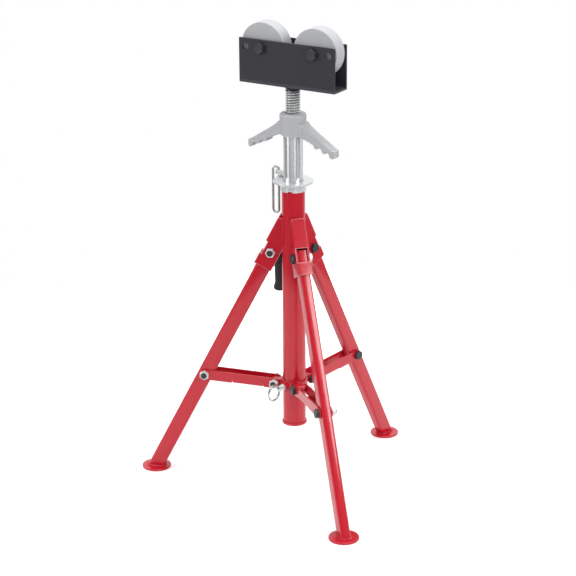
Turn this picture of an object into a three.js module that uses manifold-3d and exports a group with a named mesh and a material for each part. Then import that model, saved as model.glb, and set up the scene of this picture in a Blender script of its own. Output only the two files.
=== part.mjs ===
// Folding tripod roller stand: a pin-set mast in a three-legged tube, with two
// rollers in a channel on a lift screw. Millimetres, +Z up, floor at z = 0.
// The roller channel lies along X. Each leg is built in its own frame, where x
// points out from the mast, y runs around it and z is up.
import * as THREE from 'three';
import { mergeVertices } from 'three/addons/utils/BufferGeometryUtils.js';
import Module from 'manifold-3d';

const wasm = await Module();
wasm.setup();

// Clearances
const seatGap = 0.3;
const slideGap = 0.5;
const boltGap = 0.3;
const brushGap = 0.5;

// Main tube
const mainTubeDiameter = 45;
const mainTubeWall = 3;
const mainTubeLength = 498;
const mainTubeFootHeight = 121;
const endRingHeight = 5.5;
const endRingWall = 1.7;

// Legs, from the pivot down to the foot
const legCount = 3;
const frontLegAzimuth = -40;
const legSlope = 27.24;
const legDepth = 30;
const legWidth = 20;
const legWall = 2;
const legCorner = 4;
const legTopReach = 13;
const pivotBelowTubeTop = 140;
const pivotToTubeGap = 5.5;
const footDiameter = 58;
const footThickness = 4;
const footChamfer = 0.8;

// Leg brackets
const bracketSheet = 3.5;
const bracketBend = 2;
const bracketBackReach = 3;
const bracketCornerRadius = 5;
const windowTopGap = 3.5;
const windowBelowPivot = 11;
const windowStep = 4.3;
const strapLength = 24;

// Hexagon bolts and nuts of the tripod
const tripodBoltDiameter = 10;
const tripodHexWidth = 17;
const tripodHeadHeight = 6.4;
const tripodNutHeight = 8;
const boltEndReach = 1.6;

// Sliding collar and its lugs
const collarAboveTubeFoot = 84.6;
const collarHeight = 20;
const collarWall = 3.2;
const lugStandOff = 12.5;
const lugBarrelDiameter = 16;
const lugBlockWidth = 15;
const lugBlockHeight = 14;

// Braces between the collar and the legs
const braceRise = 8.1;
const braceSheet = 2.5;
const braceDepth = 21;
const braceWebStart = 22;
const braceWebLength = 62;

// Lock plunger on the collar
const plungerAzimuth = frontLegAzimuth - 180 / legCount;
const plungerDiameter = 8;
const plungerBossDiameter = 16;
const plungerBossLength = 7;
const plungerFlangeDiameter = 13;
const plungerFlangeLength = 3;
const plungerStemLength = 9;
const plungerEyeDiameter = 11;
const plungerEyeHeight = 5;
const pullRingDiameter = 35;
const pullRingWire = 4.2;
const pullRingDroop = 15;
const eyeGap = 0.9;

// Flange on top of the main tube
const flangeDiameter = 78;
const flangeThickness = 4;
const flangeSleeveHeight = 16;
const flangeSleeveWall = 2.3;
const flangeNotchWidth = 9;
const flangeNotchHeight = 2.5;
const flangeNotchAzimuth = -75;

// Inner tube and height pin
const innerTubeWall = 3;
const innerTubeLength = 560;
const innerTubeShown = 87.7;
const pinDiameter = 12;
const pinAzimuth = 162;
const pinHolePitch = 50;
const pinEyeInset = 5;
const loopWire = 4.4;
const loopWidth = 16.4;
const loopHeight = 96;
const loopAbovePin = 13;
const loopJoint = 0.5;
const loopTurn = 30;

// Clamp screw lever
const clampAzimuth = frontLegAzimuth + 180;
const clampAbovePivot = 21;
const clampBossDiameter = 18;
const clampBossLength = 16;
const leverDiameter = 12;
const leverReach = 84;
const leverBend = 14;
const leverDrop = 122;
const gripDiameter = 24;
const gripFlare = 27;
const gripLength = 94;
const gripEndWall = 4;
const gripEdge = 2;
const gripFlareLow = 3;
const gripFlareHigh = 7;
const gripNeckHeight = 14;
const gripNeckInset = 1.5;
const gripWaistInset = 0.5;
const gripShoulder = 8;

// Wing nut and lift screw
const washerThickness = 2;
const washerOverhang = 1;
const hubDiameter = 51;
const hubHeight = 42;
const hubRound = 5;
const wingReach = 97;
const wingRootWidth = 30;
const wingTipWidth = 21;
const wingRootTop = 22;
const wingTipTop = -19;
const wingTipDepth = 10;
const wingBumpRadius = 5;
const wingBumpPitch = 17;
const wingBumpCount = 2;
const wingEndRadius = 6;
const screwDiameter = 30;
const screwPitch = 5;
const screwThreadDepth = 2.6;
const screwLength = 115;
const screwShown = 52;
const threadFlatness = 1.5;

// Roller channel, wheels and axles
const channelSheet = 4;
const channelBend = 2;
const wheelDiameter = 94;
const wheelWidth = 30;
const wheelEdge = 1.5;
const wheelSpacing = 20;
const wheelFloorGap = 19;
const bushWall = 3;
const spacerLength = 4;
const spacerWall = 4;
const axleDiameter = 12;
const axleHexWidth = 19;
const axleHeadHeight = 7.5;
const axleNutHeight = 10;
const axleBelowTop = 15.5;
const spareHoleDiameter = 13;
const spareHoleOffset = 32.5;
const spareHoleInset = 14.5;

// Sides of round pieces
const tubeSides = 28;
const wheelSides = 36;
const rodSides = 12;
const holeSides = 12;
const gripSides = 18;
const boreSides = 24;
const axleSides = 16;
const bendSides = 2;
const wireSides = 6;
const leverSides = 8;
const leverSteps = 24;
const loopSteps = 44;
const wingBumpSides = 3;
const hubRoundSides = 3;
const screwSides = 10;
const screwRowsPerTurn = 3;

// Points nearer than this are one point, and no bend is tighter than the least one
const pointTolerance = 0.0005;
const leastBend = 0.5;

// Sizes that follow from the ones above
const radians = Math.PI / 180;
const tubeRadius = mainTubeDiameter / 2;
const tubeBore = tubeRadius - mainTubeWall;
const tubeTop = mainTubeFootHeight + mainTubeLength;
const slope = legSlope * radians;
const legAzimuths = Array.from({ length: legCount }, (_, i) => frontLegAzimuth + (i * 360) / legCount);
const pivotRadius = tubeRadius + pivotToTubeGap + legDepth / 2;
const pivotHeight = tubeTop - pivotBelowTubeTop;
const footReach = pivotRadius + (pivotHeight - footThickness) * Math.tan(slope);
const cheekInside = legWidth / 2 + seatGap;
const cheekOutside = cheekInside + bracketSheet;
const webInside = legDepth / 2 + seatGap;
const webOutside = webInside + bracketSheet;
const bracketEnd = windowBelowPivot + strapLength;
const tripodHoleRadius = tripodBoltDiameter / 2 + boltGap;
const collarMiddle = mainTubeFootHeight + collarAboveTubeFoot;
const collarInside = tubeRadius + slideGap;
const collarOutside = collarInside + collarWall;
const lugRadius = collarOutside + lugStandOff;
const plungerSeat = collarOutside + plungerBossLength + seatGap;
const plungerEye = plungerSeat + plungerFlangeLength + plungerStemLength;
const braceEndHeight = collarMiddle + braceRise;
const braceEndRadius = pivotRadius + (pivotHeight - braceEndHeight) * Math.tan(slope);
const braceLength = Math.hypot(braceEndRadius - lugRadius, braceRise);
const braceTilt = Math.atan2(braceRise, braceEndRadius - lugRadius);
const braceInside = legWidth / 2 + brushGap;
const braceOutside = braceInside + braceSheet;
const flangeBottom = tubeTop + seatGap;
const flangeTop = flangeBottom + flangeThickness;
const innerTubeRadius = tubeBore - slideGap;
const innerTubeBore = innerTubeRadius - innerTubeWall;
const innerTubeTop = flangeTop + innerTubeShown;
const innerTubeFoot = innerTubeTop - innerTubeLength;
const pinHeight = flangeTop + seatGap + pinDiameter / 2;
const pinEyeRadius = flangeDiameter / 2 + loopWire / 2 + 2 * brushGap;
const clampHeight = pivotHeight + clampAbovePivot;
const washerTop = innerTubeTop + seatGap + washerThickness;
const hubBottom = washerTop + seatGap;
const hubTop = hubBottom + hubHeight;
const channelBottom = hubTop + screwShown;
const axleHeight = channelBottom + channelSheet + wheelFloorGap + wheelDiameter / 2;
const channelTop = axleHeight + axleBelowTop;
const axleOffset = (wheelDiameter + wheelSpacing) / 2;
const spareHoleReach = axleOffset + spareHoleOffset;
const channelReach = spareHoleReach + spareHoleInset;
const channelInside = wheelWidth / 2 + spacerLength + 2 * seatGap;
const channelOutside = channelInside + channelSheet;

// The feet set the part's box, so the mast stands off its middle
const footSpots = legAzimuths.map((azimuth) => [
  footReach * Math.cos(azimuth * radians),
  footReach * Math.sin(azimuth * radians),
]);
const middleOf = (values) => (Math.min(...values) + Math.max(...values)) / 2;
const mastX = -middleOf(footSpots.map((spot) => spot[0]));
const mastY = -middleOf(footSpots.map((spot) => spot[1]));

const finishes = {
  redPaint: { color: 0xc2303a, roughness: 0.35, metalness: 0.1 },
  blackPaint: { color: 0x3e3d42, roughness: 0.5, metalness: 0.1 },
  blackSteel: { color: 0x36363a, roughness: 0.45, metalness: 0.6 },
  zinc: { color: 0xd0d4d7, roughness: 0.3, metalness: 0.9 },
  castGrey: { color: 0xaeafb1, roughness: 0.6, metalness: 0.3 },
  wheelGrey: { color: 0xb6b7b9, roughness: 0.6, metalness: 0.0 },
  rubber: { color: 0x2f2f32, roughness: 0.8, metalness: 0.0 },
};

// A closed solid from a geometry: shared points merged, flat triangles dropped,
// faces turned outward
function solid(geometry) {
  const bare = geometry.clone();
  bare.deleteAttribute('normal');
  bare.deleteAttribute('uv');
  const merged = mergeVertices(bare, pointTolerance);
  const points = merged.attributes.position.array;
  const corner = (index) => new THREE.Vector3().fromArray(points, index * 3);
  const triangles = [];
  let volume = 0;
  for (let i = 0; i < merged.index.count; i += 3) {
    const [a, b, c] = merged.index.array.slice(i, i + 3);
    if (a !== b && b !== c && c !== a) {
      triangles.push(a, b, c);
      volume += corner(a).dot(corner(b).cross(corner(c)));
    }
  }
  if (volume < 0) triangles.reverse();
  return new wasm.Manifold(new wasm.Mesh({
    numProp: 3,
    vertProperties: new Float32Array(points),
    triVerts: new Uint32Array(triangles),
  }));
}

// A geometry from a solid
function geometryOf(body) {
  const mesh = body.getMesh();
  const geometry = new THREE.BufferGeometry();
  geometry.setAttribute('position', new THREE.BufferAttribute(mesh.vertProperties, 3));
  geometry.setIndex(new THREE.BufferAttribute(mesh.triVerts, 1));
  geometry.computeVertexNormals();
  return geometry;
}

// A named piece with a finish of its own
function addPiece(parent, name, body, finish) {
  const mesh = new THREE.Mesh(geometryOf(body), new THREE.MeshStandardMaterial(finishes[finish]));
  mesh.name = name;
  parent.add(mesh);
}

// Upright round bar between two heights
function bar(radius, bottom, top, sides = rodSides) {
  const geometry = new THREE.CylinderGeometry(radius, radius, top - bottom, sides);
  geometry.rotateX(Math.PI / 2);
  return geometry.translate(0, 0, (bottom + top) / 2);
}

// Upright hexagon across its flats
function hexagon(width, bottom, top) {
  return bar(width / Math.sqrt(3), bottom, top, 6);
}

// Outline pushed upward from one height to another
function prism(shape, bottom, top, curveSegments = bendSides) {
  const options = { depth: top - bottom, bevelEnabled: false, curveSegments };
  return new THREE.ExtrudeGeometry(shape, options).translate(0, 0, bottom);
}

// Upright ring between two heights
function ring(outer, inner, bottom, top, sides = tubeSides) {
  const shape = new THREE.Shape().absarc(0, 0, outer, 0, 2 * Math.PI);
  shape.holes.push(new THREE.Path().absarc(0, 0, inner, 0, 2 * Math.PI));
  return prism(shape, bottom, top, sides / 2);
}

// Profile of [radius, height] pairs turned about the upright axis
function turned(profile, sides = tubeSides) {
  const geometry = new THREE.LatheGeometry(profile.map((pair) => new THREE.Vector2(...pair)), sides);
  return geometry.rotateX(Math.PI / 2);
}

// Rectangular block between two corners
function block(low, high) {
  const size = high.map((value, i) => value - low[i]);
  const middle = high.map((value, i) => (value + low[i]) / 2);
  return new THREE.BoxGeometry(...size).translate(...middle);
}

const alongX = (geometry) => geometry.rotateY(Math.PI / 2);
const alongY = (geometry) => geometry.rotateX(-Math.PI / 2);

// Rectangle outline with four round corners
function roundedRectangle(width, height, radius) {
  const x = width / 2 - radius;
  const y = height / 2 - radius;
  const shape = new THREE.Shape();
  shape.absarc(x, y, radius, 0, Math.PI / 2);
  shape.absarc(-x, y, radius, Math.PI / 2, Math.PI);
  shape.absarc(-x, -y, radius, Math.PI, 1.5 * Math.PI);
  shape.absarc(x, -y, radius, 1.5 * Math.PI, 2 * Math.PI);
  shape.closePath();
  return shape;
}

// Outline of a U open to -x: outer face at x = back, arms along -x to the front
function channelOutline(front, back, inside, outside, bend) {
  const sheet = outside - inside;
  const inner = Math.max(bend - sheet, leastBend);
  const shape = new THREE.Shape();
  shape.moveTo(front, -outside);
  shape.absarc(back - bend, -outside + bend, bend, -Math.PI / 2, 0);
  shape.absarc(back - bend, outside - bend, bend, 0, Math.PI / 2);
  shape.lineTo(front, outside);
  shape.lineTo(front, inside);
  shape.absarc(back - sheet - inner, inside - inner, inner, Math.PI / 2, 0, true);
  shape.absarc(back - sheet - inner, -inside + inner, inner, 0, -Math.PI / 2, true);
  shape.lineTo(front, -inside);
  shape.closePath();
  return shape;
}

// Hexagon bolt along +Z: head below z = 0, shank above it
function bolt(width, headHeight, diameter, length) {
  const head = solid(hexagon(width, -headHeight, 0));
  return head.add(solid(bar(diameter / 2, -headHeight / 2, length)));
}

// A frame on an azimuth about the mast, with x pointing out
function spoke(parent, azimuth) {
  const group = new THREE.Group();
  group.rotation.z = azimuth * radians;
  parent.add(group);
  return group;
}

// The leg's own frame: origin at the pivot, z up along the leg, x out from it
function legFrame() {
  const matrix = new THREE.Matrix4().makeRotationY(-slope);
  return matrix.setPosition(pivotRadius, 0, pivotHeight);
}

function mainTube() {
  const lockHole = (height) => {
    const geometry = alongX(bar(plungerDiameter / 2 + boltGap, tubeBore / 2, tubeRadius * 1.5, holeSides));
    return solid(geometry.rotateZ(plungerAzimuth * radians).translate(0, 0, height));
  };
  const clampHole = alongX(bar(leverDiameter / 2 + boltGap, tubeBore / 2, tubeRadius * 1.5, holeSides));
  clampHole.rotateZ(clampAzimuth * radians);
  clampHole.translate(0, 0, clampHeight);
  return solid(ring(tubeRadius, tubeBore, mainTubeFootHeight, tubeTop))
    .subtract(lockHole(collarMiddle))
    .subtract(solid(clampHole));
}

function endRing() {
  const inner = tubeRadius + seatGap;
  return solid(ring(inner + endRingWall, inner, mainTubeFootHeight, mainTubeFootHeight + endRingHeight));
}

// U-section bracket in the leg's frame, cut to the tube, with the window for the leg's top end
function legBracket() {
  const topEdge = (pivotRadius + webInside * Math.cos(slope) - tubeRadius - seatGap) / Math.sin(slope);
  const back = -(legDepth / 2 + bracketBackReach);
  const section = channelOutline(back, webOutside, cheekInside, cheekOutside, bracketBend);
  const outline = roundedRectangle(2 * cheekOutside, 2 * topEdge, bracketCornerRadius);
  const rounded = alongX(prism(outline, 2 * back, 2 * webOutside).rotateZ(Math.PI / 2));
  const windowLow = [webOutside - windowStep, -2 * cheekOutside, -windowBelowPivot];
  const windowHigh = [2 * webOutside, 2 * cheekOutside, legTopReach + windowTopGap];
  const tube = bar(tubeRadius + seatGap, 0, 2 * tubeTop, tubeSides);
  tube.applyMatrix4(legFrame().invert());
  const pivotHole = alongY(bar(tripodHoleRadius, -2 * cheekOutside, 2 * cheekOutside, holeSides));
  return solid(prism(section, -bracketEnd, topEdge))
    .intersect(solid(rounded))
    .subtract(solid(block(windowLow, windowHigh)))
    .subtract(solid(tube))
    .subtract(solid(pivotHole));
}

// Rectangular leg tube in the leg's frame, cut level at the foot plate
function legTube() {
  const section = roundedRectangle(legDepth, legWidth, legCorner);
  const bore = roundedRectangle(legDepth - 2 * legWall, legWidth - 2 * legWall, legCorner - legWall);
  section.holes.push(new THREE.Path(bore.getPoints(bendSides).reverse()));
  const reach = pivotHeight / Math.cos(slope) + legDepth;
  const span = 2 * legDepth;
  const below = block([footReach - span, -span, -span], [footReach + span, span, footThickness + seatGap]);
  below.applyMatrix4(legFrame().invert());
  const holes = [0, (braceEndHeight - pivotHeight) / Math.cos(slope)].map((height) => {
    const hole = alongY(bar(tripodHoleRadius, -legWidth, legWidth, holeSides));
    return solid(hole.translate(0, 0, height));
  });
  return solid(prism(section, -reach, legTopReach))
    .subtract(solid(below))
    .subtract(holes[0])
    .subtract(holes[1]);
}

function footPlate() {
  const radius = footDiameter / 2;
  const profile = [
    [0, 0],
    [radius, 0],
    [radius, footThickness - footChamfer],
    [radius - footChamfer, footThickness],
    [0, footThickness],
  ];
  return solid(turned(profile, wheelSides).translate(footReach, 0, 0));
}

// Bolt across a pair of cheeks, head on the -y side
function crossBolt(outside) {
  const seat = outside + seatGap;
  const reach = 2 * seat + tripodNutHeight + boltEndReach;
  const body = bolt(tripodHexWidth, tripodHeadHeight, tripodBoltDiameter, reach);
  return solid(alongY(geometryOf(body)).translate(0, -seat, 0));
}

function crossNut(outside) {
  const seat = outside + seatGap;
  const nut = solid(hexagon(tripodHexWidth, seat, seat + tripodNutHeight));
  const hole = solid(bar(tripodHoleRadius, 0, 2 * (seat + tripodNutHeight), holeSides));
  return solid(alongY(geometryOf(nut.subtract(hole))));
}

// The brace's bolt ends at the leg: a head stub and a nut stub that stop short of
// the leg's faces
function legEndBolt() {
  const seat = braceOutside + seatGap;
  const body = bolt(tripodHexWidth, tripodHeadHeight, tripodBoltDiameter, seat - legWidth / 2 - boltGap);
  return solid(alongY(geometryOf(body)).translate(0, -seat, 0));
}

function legEndNut() {
  const seat = braceOutside + seatGap;
  const top = seat + tripodNutHeight;
  const nut = solid(hexagon(tripodHexWidth, seat, top));
  const stub = solid(bar(tripodBoltDiameter / 2, legWidth / 2 + boltGap, top + boltEndReach));
  return solid(alongY(geometryOf(nut.add(stub))));
}

// Twin-cheek brace in its own frame: x from the collar pivot to the leg pivot
function brace() {
  const radius = braceDepth / 2;
  const outline = new THREE.Shape();
  outline.absarc(0, 0, radius, Math.PI / 2, 1.5 * Math.PI);
  outline.absarc(braceLength, 0, radius, -Math.PI / 2, Math.PI / 2);
  outline.closePath();
  for (const x of [0, braceLength]) {
    outline.holes.push(new THREE.Path().absarc(x, 0, tripodHoleRadius, 0, 2 * Math.PI));
  }
  const cheek = (y) => solid(alongY(prism(outline, y, y + braceSheet, holeSides / 2)));
  const webLow = [braceWebStart, -braceOutside + braceSheet / 2, -radius];
  const webHigh = [braceWebStart + braceWebLength, braceOutside - braceSheet / 2, -radius + braceSheet];
  return cheek(-braceOutside)
    .add(cheek(braceInside))
    .add(solid(block(webLow, webHigh)));
}

// Collar with three lug barrels and the boss for the lock plunger
function slidingCollar() {
  const low = collarMiddle - collarHeight / 2;
  const high = collarMiddle + collarHeight / 2;
  const barrelReach = braceInside - seatGap;
  let body = solid(ring(collarOutside, collarInside, low, high));
  const bores = [];
  for (const azimuth of legAzimuths) {
    const place = (geometry) => solid(geometry.rotateZ(azimuth * radians));
    const blockLow = [collarInside + collarWall / 2, -lugBlockWidth / 2, collarMiddle - lugBlockHeight / 2];
    const blockHigh = [lugRadius, lugBlockWidth / 2, collarMiddle + lugBlockHeight / 2];
    const barrel = alongY(bar(lugBarrelDiameter / 2, -barrelReach, barrelReach));
    const bore = alongY(bar(tripodHoleRadius, -2 * barrelReach, 2 * barrelReach, holeSides));
    body = body.add(place(block(blockLow, blockHigh)));
    body = body.add(place(barrel.translate(lugRadius, 0, collarMiddle)));
    bores.push(place(bore.translate(lugRadius, 0, collarMiddle)));
  }
  const bossEnd = collarOutside + plungerBossLength;
  const boss = alongX(bar(plungerBossDiameter / 2, collarInside + collarWall / 2, bossEnd));
  const bore = alongX(bar(plungerDiameter / 2 + boltGap, 0, 2 * lugRadius, holeSides));
  const onPlungerSide = (geometry) => {
    geometry.rotateZ(plungerAzimuth * radians);
    return solid(geometry.translate(0, 0, collarMiddle));
  };
  body = body.add(onPlungerSide(boss)).subtract(onPlungerSide(bore));
  return bores.reduce((cut, hole) => cut.subtract(hole), body);
}

// Lock plunger along x, from its nose near the tube to the eye for the pull ring
function lockPlunger() {
  const stem = alongX(bar(plungerDiameter / 2, tubeRadius + slideGap, plungerEye - plungerDiameter / 2));
  const flange = alongX(bar(plungerFlangeDiameter / 2, plungerSeat, plungerSeat + plungerFlangeLength));
  const eye = bar(plungerEyeDiameter / 2, -plungerEyeHeight / 2, plungerEyeHeight / 2);
  const hole = bar(pullRingWire / 2 + eyeGap, -plungerDiameter, plungerDiameter, holeSides);
  hole.rotateY(pullRingDroop * radians);
  return solid(stem)
    .add(solid(flange))
    .add(solid(eye.translate(plungerEye, 0, 0)))
    .subtract(solid(hole.translate(plungerEye, 0, 0)));
}

// Pull ring through the plunger's eye, drooping outward
function pullRing() {
  const radius = (pullRingDiameter - pullRingWire) / 2;
  const geometry = new THREE.TorusGeometry(radius, pullRingWire / 2, wireSides, boreSides);
  geometry.rotateX(Math.PI / 2);
  geometry.translate(radius, 0, 0);
  geometry.rotateY(pullRingDroop * radians);
  return solid(geometry.translate(plungerEye, 0, 0));
}

function topFlange() {
  const inner = tubeRadius + seatGap;
  const outer = inner + flangeSleeveWall;
  const throat = innerTubeRadius + slideGap;
  const low = flangeBottom - flangeSleeveHeight;
  const rim = flangeDiameter / 2;
  const profile = [
    [throat, flangeBottom],
    [inner, flangeBottom],
    [inner, low],
    [outer, low],
    [outer, flangeBottom],
    [rim, flangeBottom],
    [rim, flangeTop],
    [throat, flangeTop],
    [throat, flangeBottom],
  ];
  const notchLow = [inner - flangeSleeveWall, -flangeNotchWidth / 2, low - flangeNotchHeight];
  const notchHigh = [outer + flangeSleeveWall, flangeNotchWidth / 2, low + flangeNotchHeight];
  const notch = block(notchLow, notchHigh).rotateZ(flangeNotchAzimuth * radians);
  return solid(turned(profile)).subtract(solid(notch));
}

// Inner tube with a row of pin holes down one side, the top one at the pin
function innerTube() {
  let body = solid(ring(innerTubeRadius, innerTubeBore, innerTubeFoot, innerTubeTop));
  for (let height = pinHeight; height > innerTubeFoot + pinHolePitch / 2; height -= pinHolePitch) {
    const hole = alongX(bar(pinDiameter / 2 + boltGap, innerTubeBore / 2, 2 * innerTubeRadius, holeSides));
    body = body.subtract(solid(hole.rotateZ(pinAzimuth * radians).translate(0, 0, height)));
  }
  return body;
}

// Height pin along x, with an upright hole for the wire loop near its outer end
function heightPin() {
  const start = slideGap - Math.sqrt(innerTubeBore ** 2 - (pinDiameter / 2) ** 2);
  const pin = alongX(bar(pinDiameter / 2, start, pinEyeRadius + pinEyeInset));
  const hole = bar(loopWire / 2 + brushGap, -pinDiameter, pinDiameter, holeSides);
  return solid(pin).subtract(solid(hole.translate(pinEyeRadius, 0, 0)));
}

// Centre line of the wire loop in the xz plane: two straight sides and two half
// circles, with a butt joint
class LoopLine extends THREE.Curve {
  getPoint(share, target = new THREE.Vector3()) {
    const round = (loopWidth - loopWire) / 2;
    const straight = loopHeight - loopWire - 2 * round;
    const arc = Math.PI * round;
    const whole = 2 * (straight + arc);
    const run = loopJoint / 2 + share * (whole - loopJoint);
    const lap = (run + straight / 2) % whole;
    const half = straight + arc;
    const side = lap < half ? 1 : -1;
    const along = lap % half;
    const bend = Math.max(along - straight, 0) / round;
    const x = round * Math.cos(bend);
    const z = Math.min(along, straight) - straight / 2 + round * Math.sin(bend);
    return target.set(side * x, 0, side * z);
  }
}

function pinLoop() {
  const section = new THREE.Shape().absarc(0, 0, loopWire / 2, 0, 2 * Math.PI);
  const options = { steps: loopSteps, curveSegments: wireSides / 2, extrudePath: new LoopLine() };
  const geometry = new THREE.ExtrudeGeometry(section, options);
  const inset = (loopWidth - loopWire) / 2;
  geometry.translate(inset, 0, loopAbovePin - loopHeight / 2).rotateZ(loopTurn * radians);
  return solid(geometry.translate(pinEyeRadius, 0, 0));
}

// Boss on the tube that the clamp screw turns in, trimmed clear of the brackets beside it
function clampBoss() {
  const boss = alongX(bar(clampBossDiameter / 2, tubeBore, tubeRadius + clampBossLength));
  const bore = alongX(bar(leverDiameter / 2 + boltGap, 0, 2 * leverReach, holeSides));
  const tube = bar(tubeRadius + seatGap, -clampBossDiameter, clampBossDiameter, tubeSides);
  let body = solid(boss).subtract(solid(bore)).subtract(solid(tube));
  for (const side of [-1, 1]) {
    const room = cheekOutside + seatGap;
    const beside = block([0, -room, -clampBossDiameter], [leverReach, room, clampBossDiameter]);
    body = body.subtract(solid(beside.rotateZ((side * Math.PI) / legCount)));
  }
  return body;
}

// Centre line of the lever: out from the tube, a quarter bend, then down
class LeverLine extends THREE.Curve {
  getPoint(share, target = new THREE.Vector3()) {
    const out = leverReach - leverBend - innerTubeRadius - slideGap;
    const arc = (Math.PI / 2) * leverBend;
    const down = leverDrop - leverBend;
    const run = share * (out + arc + down);
    const turn = Math.min(Math.max(run - out, 0) / leverBend, Math.PI / 2);
    const x = leverReach - leverBend - out + Math.min(run, out) + leverBend * Math.sin(turn);
    const z = -leverBend * (1 - Math.cos(turn)) - Math.max(run - out - arc, 0);
    return target.set(x, 0, z);
  }
}

function clampLever() {
  const section = new THREE.Shape().absarc(0, 0, leverDiameter / 2, 0, 2 * Math.PI);
  const options = { steps: leverSteps, curveSegments: leverSides / 2, extrudePath: new LeverLine() };
  return solid(new THREE.ExtrudeGeometry(section, options));
}

// Rubber grip over the lever's hanging end, flared at the bottom and blind there
function clampGrip() {
  const bottom = -leverDrop - gripEndWall;
  const top = bottom + gripLength;
  const bore = leverDiameter / 2 + boltGap;
  const radius = gripDiameter / 2;
  const profile = [
    [0, bottom],
    [gripFlare / 2 - gripEdge, bottom],
    [gripFlare / 2, bottom + gripFlareLow],
    [gripFlare / 2, bottom + gripFlareHigh],
    [radius - gripNeckInset, bottom + gripNeckHeight],
    [radius - gripWaistInset, bottom + gripLength / 2],
    [radius, top - gripShoulder],
    [radius - gripEdge, top],
    [bore, top],
    [bore, bottom + gripEndWall - seatGap],
    [0, bottom + gripEndWall - seatGap],
  ];
  return solid(turned(profile, gripSides).translate(leverReach, 0, 0));
}

// One wing along +x: a side profile with finger bumps, cut to a tapered plan
function wing() {
  const root = hubDiameter / 4;
  const underStart = [hubDiameter / 2 - hubRound, 0];
  const underEnd = [wingReach - wingEndRadius, wingTipTop - wingTipDepth];
  const fall = Math.atan2(underEnd[1] - underStart[1], underEnd[0] - underStart[0]);
  const side = new THREE.Shape();
  side.moveTo(root, 0);
  side.lineTo(...underStart);
  for (let i = wingBumpCount; i > 0; i -= 1) {
    const x = underEnd[0] - i * wingBumpPitch;
    const z = underEnd[1] - i * wingBumpPitch * Math.tan(fall);
    side.absarc(x, z, wingBumpRadius, Math.PI + fall, 2 * Math.PI + fall);
  }
  side.absarc(underEnd[0], underEnd[1], wingEndRadius, Math.PI + fall, 2 * Math.PI);
  side.lineTo(wingReach, wingTipTop - wingEndRadius);
  side.absarc(wingReach - wingEndRadius, wingTipTop - wingEndRadius, wingEndRadius, 0, Math.PI / 2);
  side.lineTo(hubDiameter / 2, wingRootTop);
  side.lineTo(root, wingRootTop);
  side.closePath();
  const plan = new THREE.Shape();
  plan.moveTo(0, -wingRootWidth / 2);
  plan.lineTo(wingReach - wingEndRadius, -wingTipWidth / 2);
  plan.absarc(wingReach - wingEndRadius, -wingTipWidth / 2 + wingEndRadius, wingEndRadius, -Math.PI / 2, 0);
  plan.absarc(wingReach - wingEndRadius, wingTipWidth / 2 - wingEndRadius, wingEndRadius, 0, Math.PI / 2);
  plan.lineTo(0, wingRootWidth / 2);
  plan.closePath();
  const profile = prism(side, -wingRootWidth, wingRootWidth, wingBumpSides).rotateX(Math.PI / 2);
  return solid(profile).intersect(solid(prism(plan, -2 * wingReach, 2 * wingReach)));
}

function wingNut() {
  const radius = hubDiameter / 2;
  const round = Array.from({ length: hubRoundSides + 1 }, (_, i) => {
    const angle = (i / hubRoundSides) * (Math.PI / 2);
    const out = radius - hubRound + hubRound * Math.cos(angle);
    return [out, hubHeight - hubRound + hubRound * Math.sin(angle)];
  });
  const hub = solid(turned([[0, 0], [radius, 0], ...round, [0, hubHeight]]));
  const bore = solid(bar(screwDiameter / 2 + boltGap, -hubHeight, 2 * hubHeight, boreSides));
  const opposite = solid(geometryOf(wing()).rotateZ(Math.PI));
  const body = hub.add(wing()).add(opposite).subtract(bore);
  return solid(geometryOf(body).translate(0, 0, hubBottom));
}

// Trapezoid-like thread: the radius swings between root and crest once a turn
function liftScrew() {
  const top = channelBottom - seatGap;
  const rows = Math.round((screwLength / screwPitch) * screwRowsPerTurn);
  const middle = screwDiameter / 2 - screwThreadDepth / 2;
  const geometry = new THREE.CylinderGeometry(middle, middle, screwLength, screwSides, rows);
  geometry.rotateX(Math.PI / 2);
  geometry.translate(0, 0, top - screwLength / 2);
  const position = geometry.attributes.position;
  for (let i = 0; i < position.count; i += 1) {
    const azimuth = Math.atan2(position.getY(i), position.getX(i));
    const onAxis = Math.hypot(position.getX(i), position.getY(i)) < middle / 2;
    const phase = 2 * Math.PI * (position.getZ(i) / screwPitch) - azimuth;
    const swing = Math.min(Math.max(threadFlatness * Math.cos(phase), -1), 1);
    const radius = onAxis ? 0 : middle + (swing * screwThreadDepth) / 2;
    position.setXY(i, radius * Math.cos(azimuth), radius * Math.sin(azimuth));
  }
  return solid(geometry);
}

// Channel along x with the axle holes and the spare holes at its ends
function rollerChannel() {
  const outline = channelOutline(-channelTop, -channelBottom, channelInside, channelOutside, channelBend);
  const hole = (radius, x) => {
    const geometry = alongY(bar(radius, -2 * channelOutside, 2 * channelOutside, rodSides));
    return solid(geometry.translate(x, 0, axleHeight));
  };
  let body = solid(alongX(prism(outline, -channelReach, channelReach)));
  for (const side of [-1, 1]) {
    body = body.subtract(hole(axleDiameter / 2 + boltGap, side * axleOffset));
    body = body.subtract(hole(spareHoleDiameter / 2, side * spareHoleReach));
  }
  return body;
}

function wheel() {
  const radius = wheelDiameter / 2;
  const half = wheelWidth / 2;
  const bore = axleDiameter / 2 + boltGap + bushWall + seatGap;
  const profile = [
    [bore, -half],
    [radius - wheelEdge, -half],
    [radius, -half + wheelEdge],
    [radius, half - wheelEdge],
    [radius - wheelEdge, half],
    [bore, half],
    [bore, -half],
  ];
  return solid(alongY(turned(profile, wheelSides)));
}

// Ring on an axle, between two places along y
function axleRing(outer, low, high) {
  return solid(alongY(ring(outer, axleDiameter / 2 + boltGap, low, high, axleSides)));
}

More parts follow.
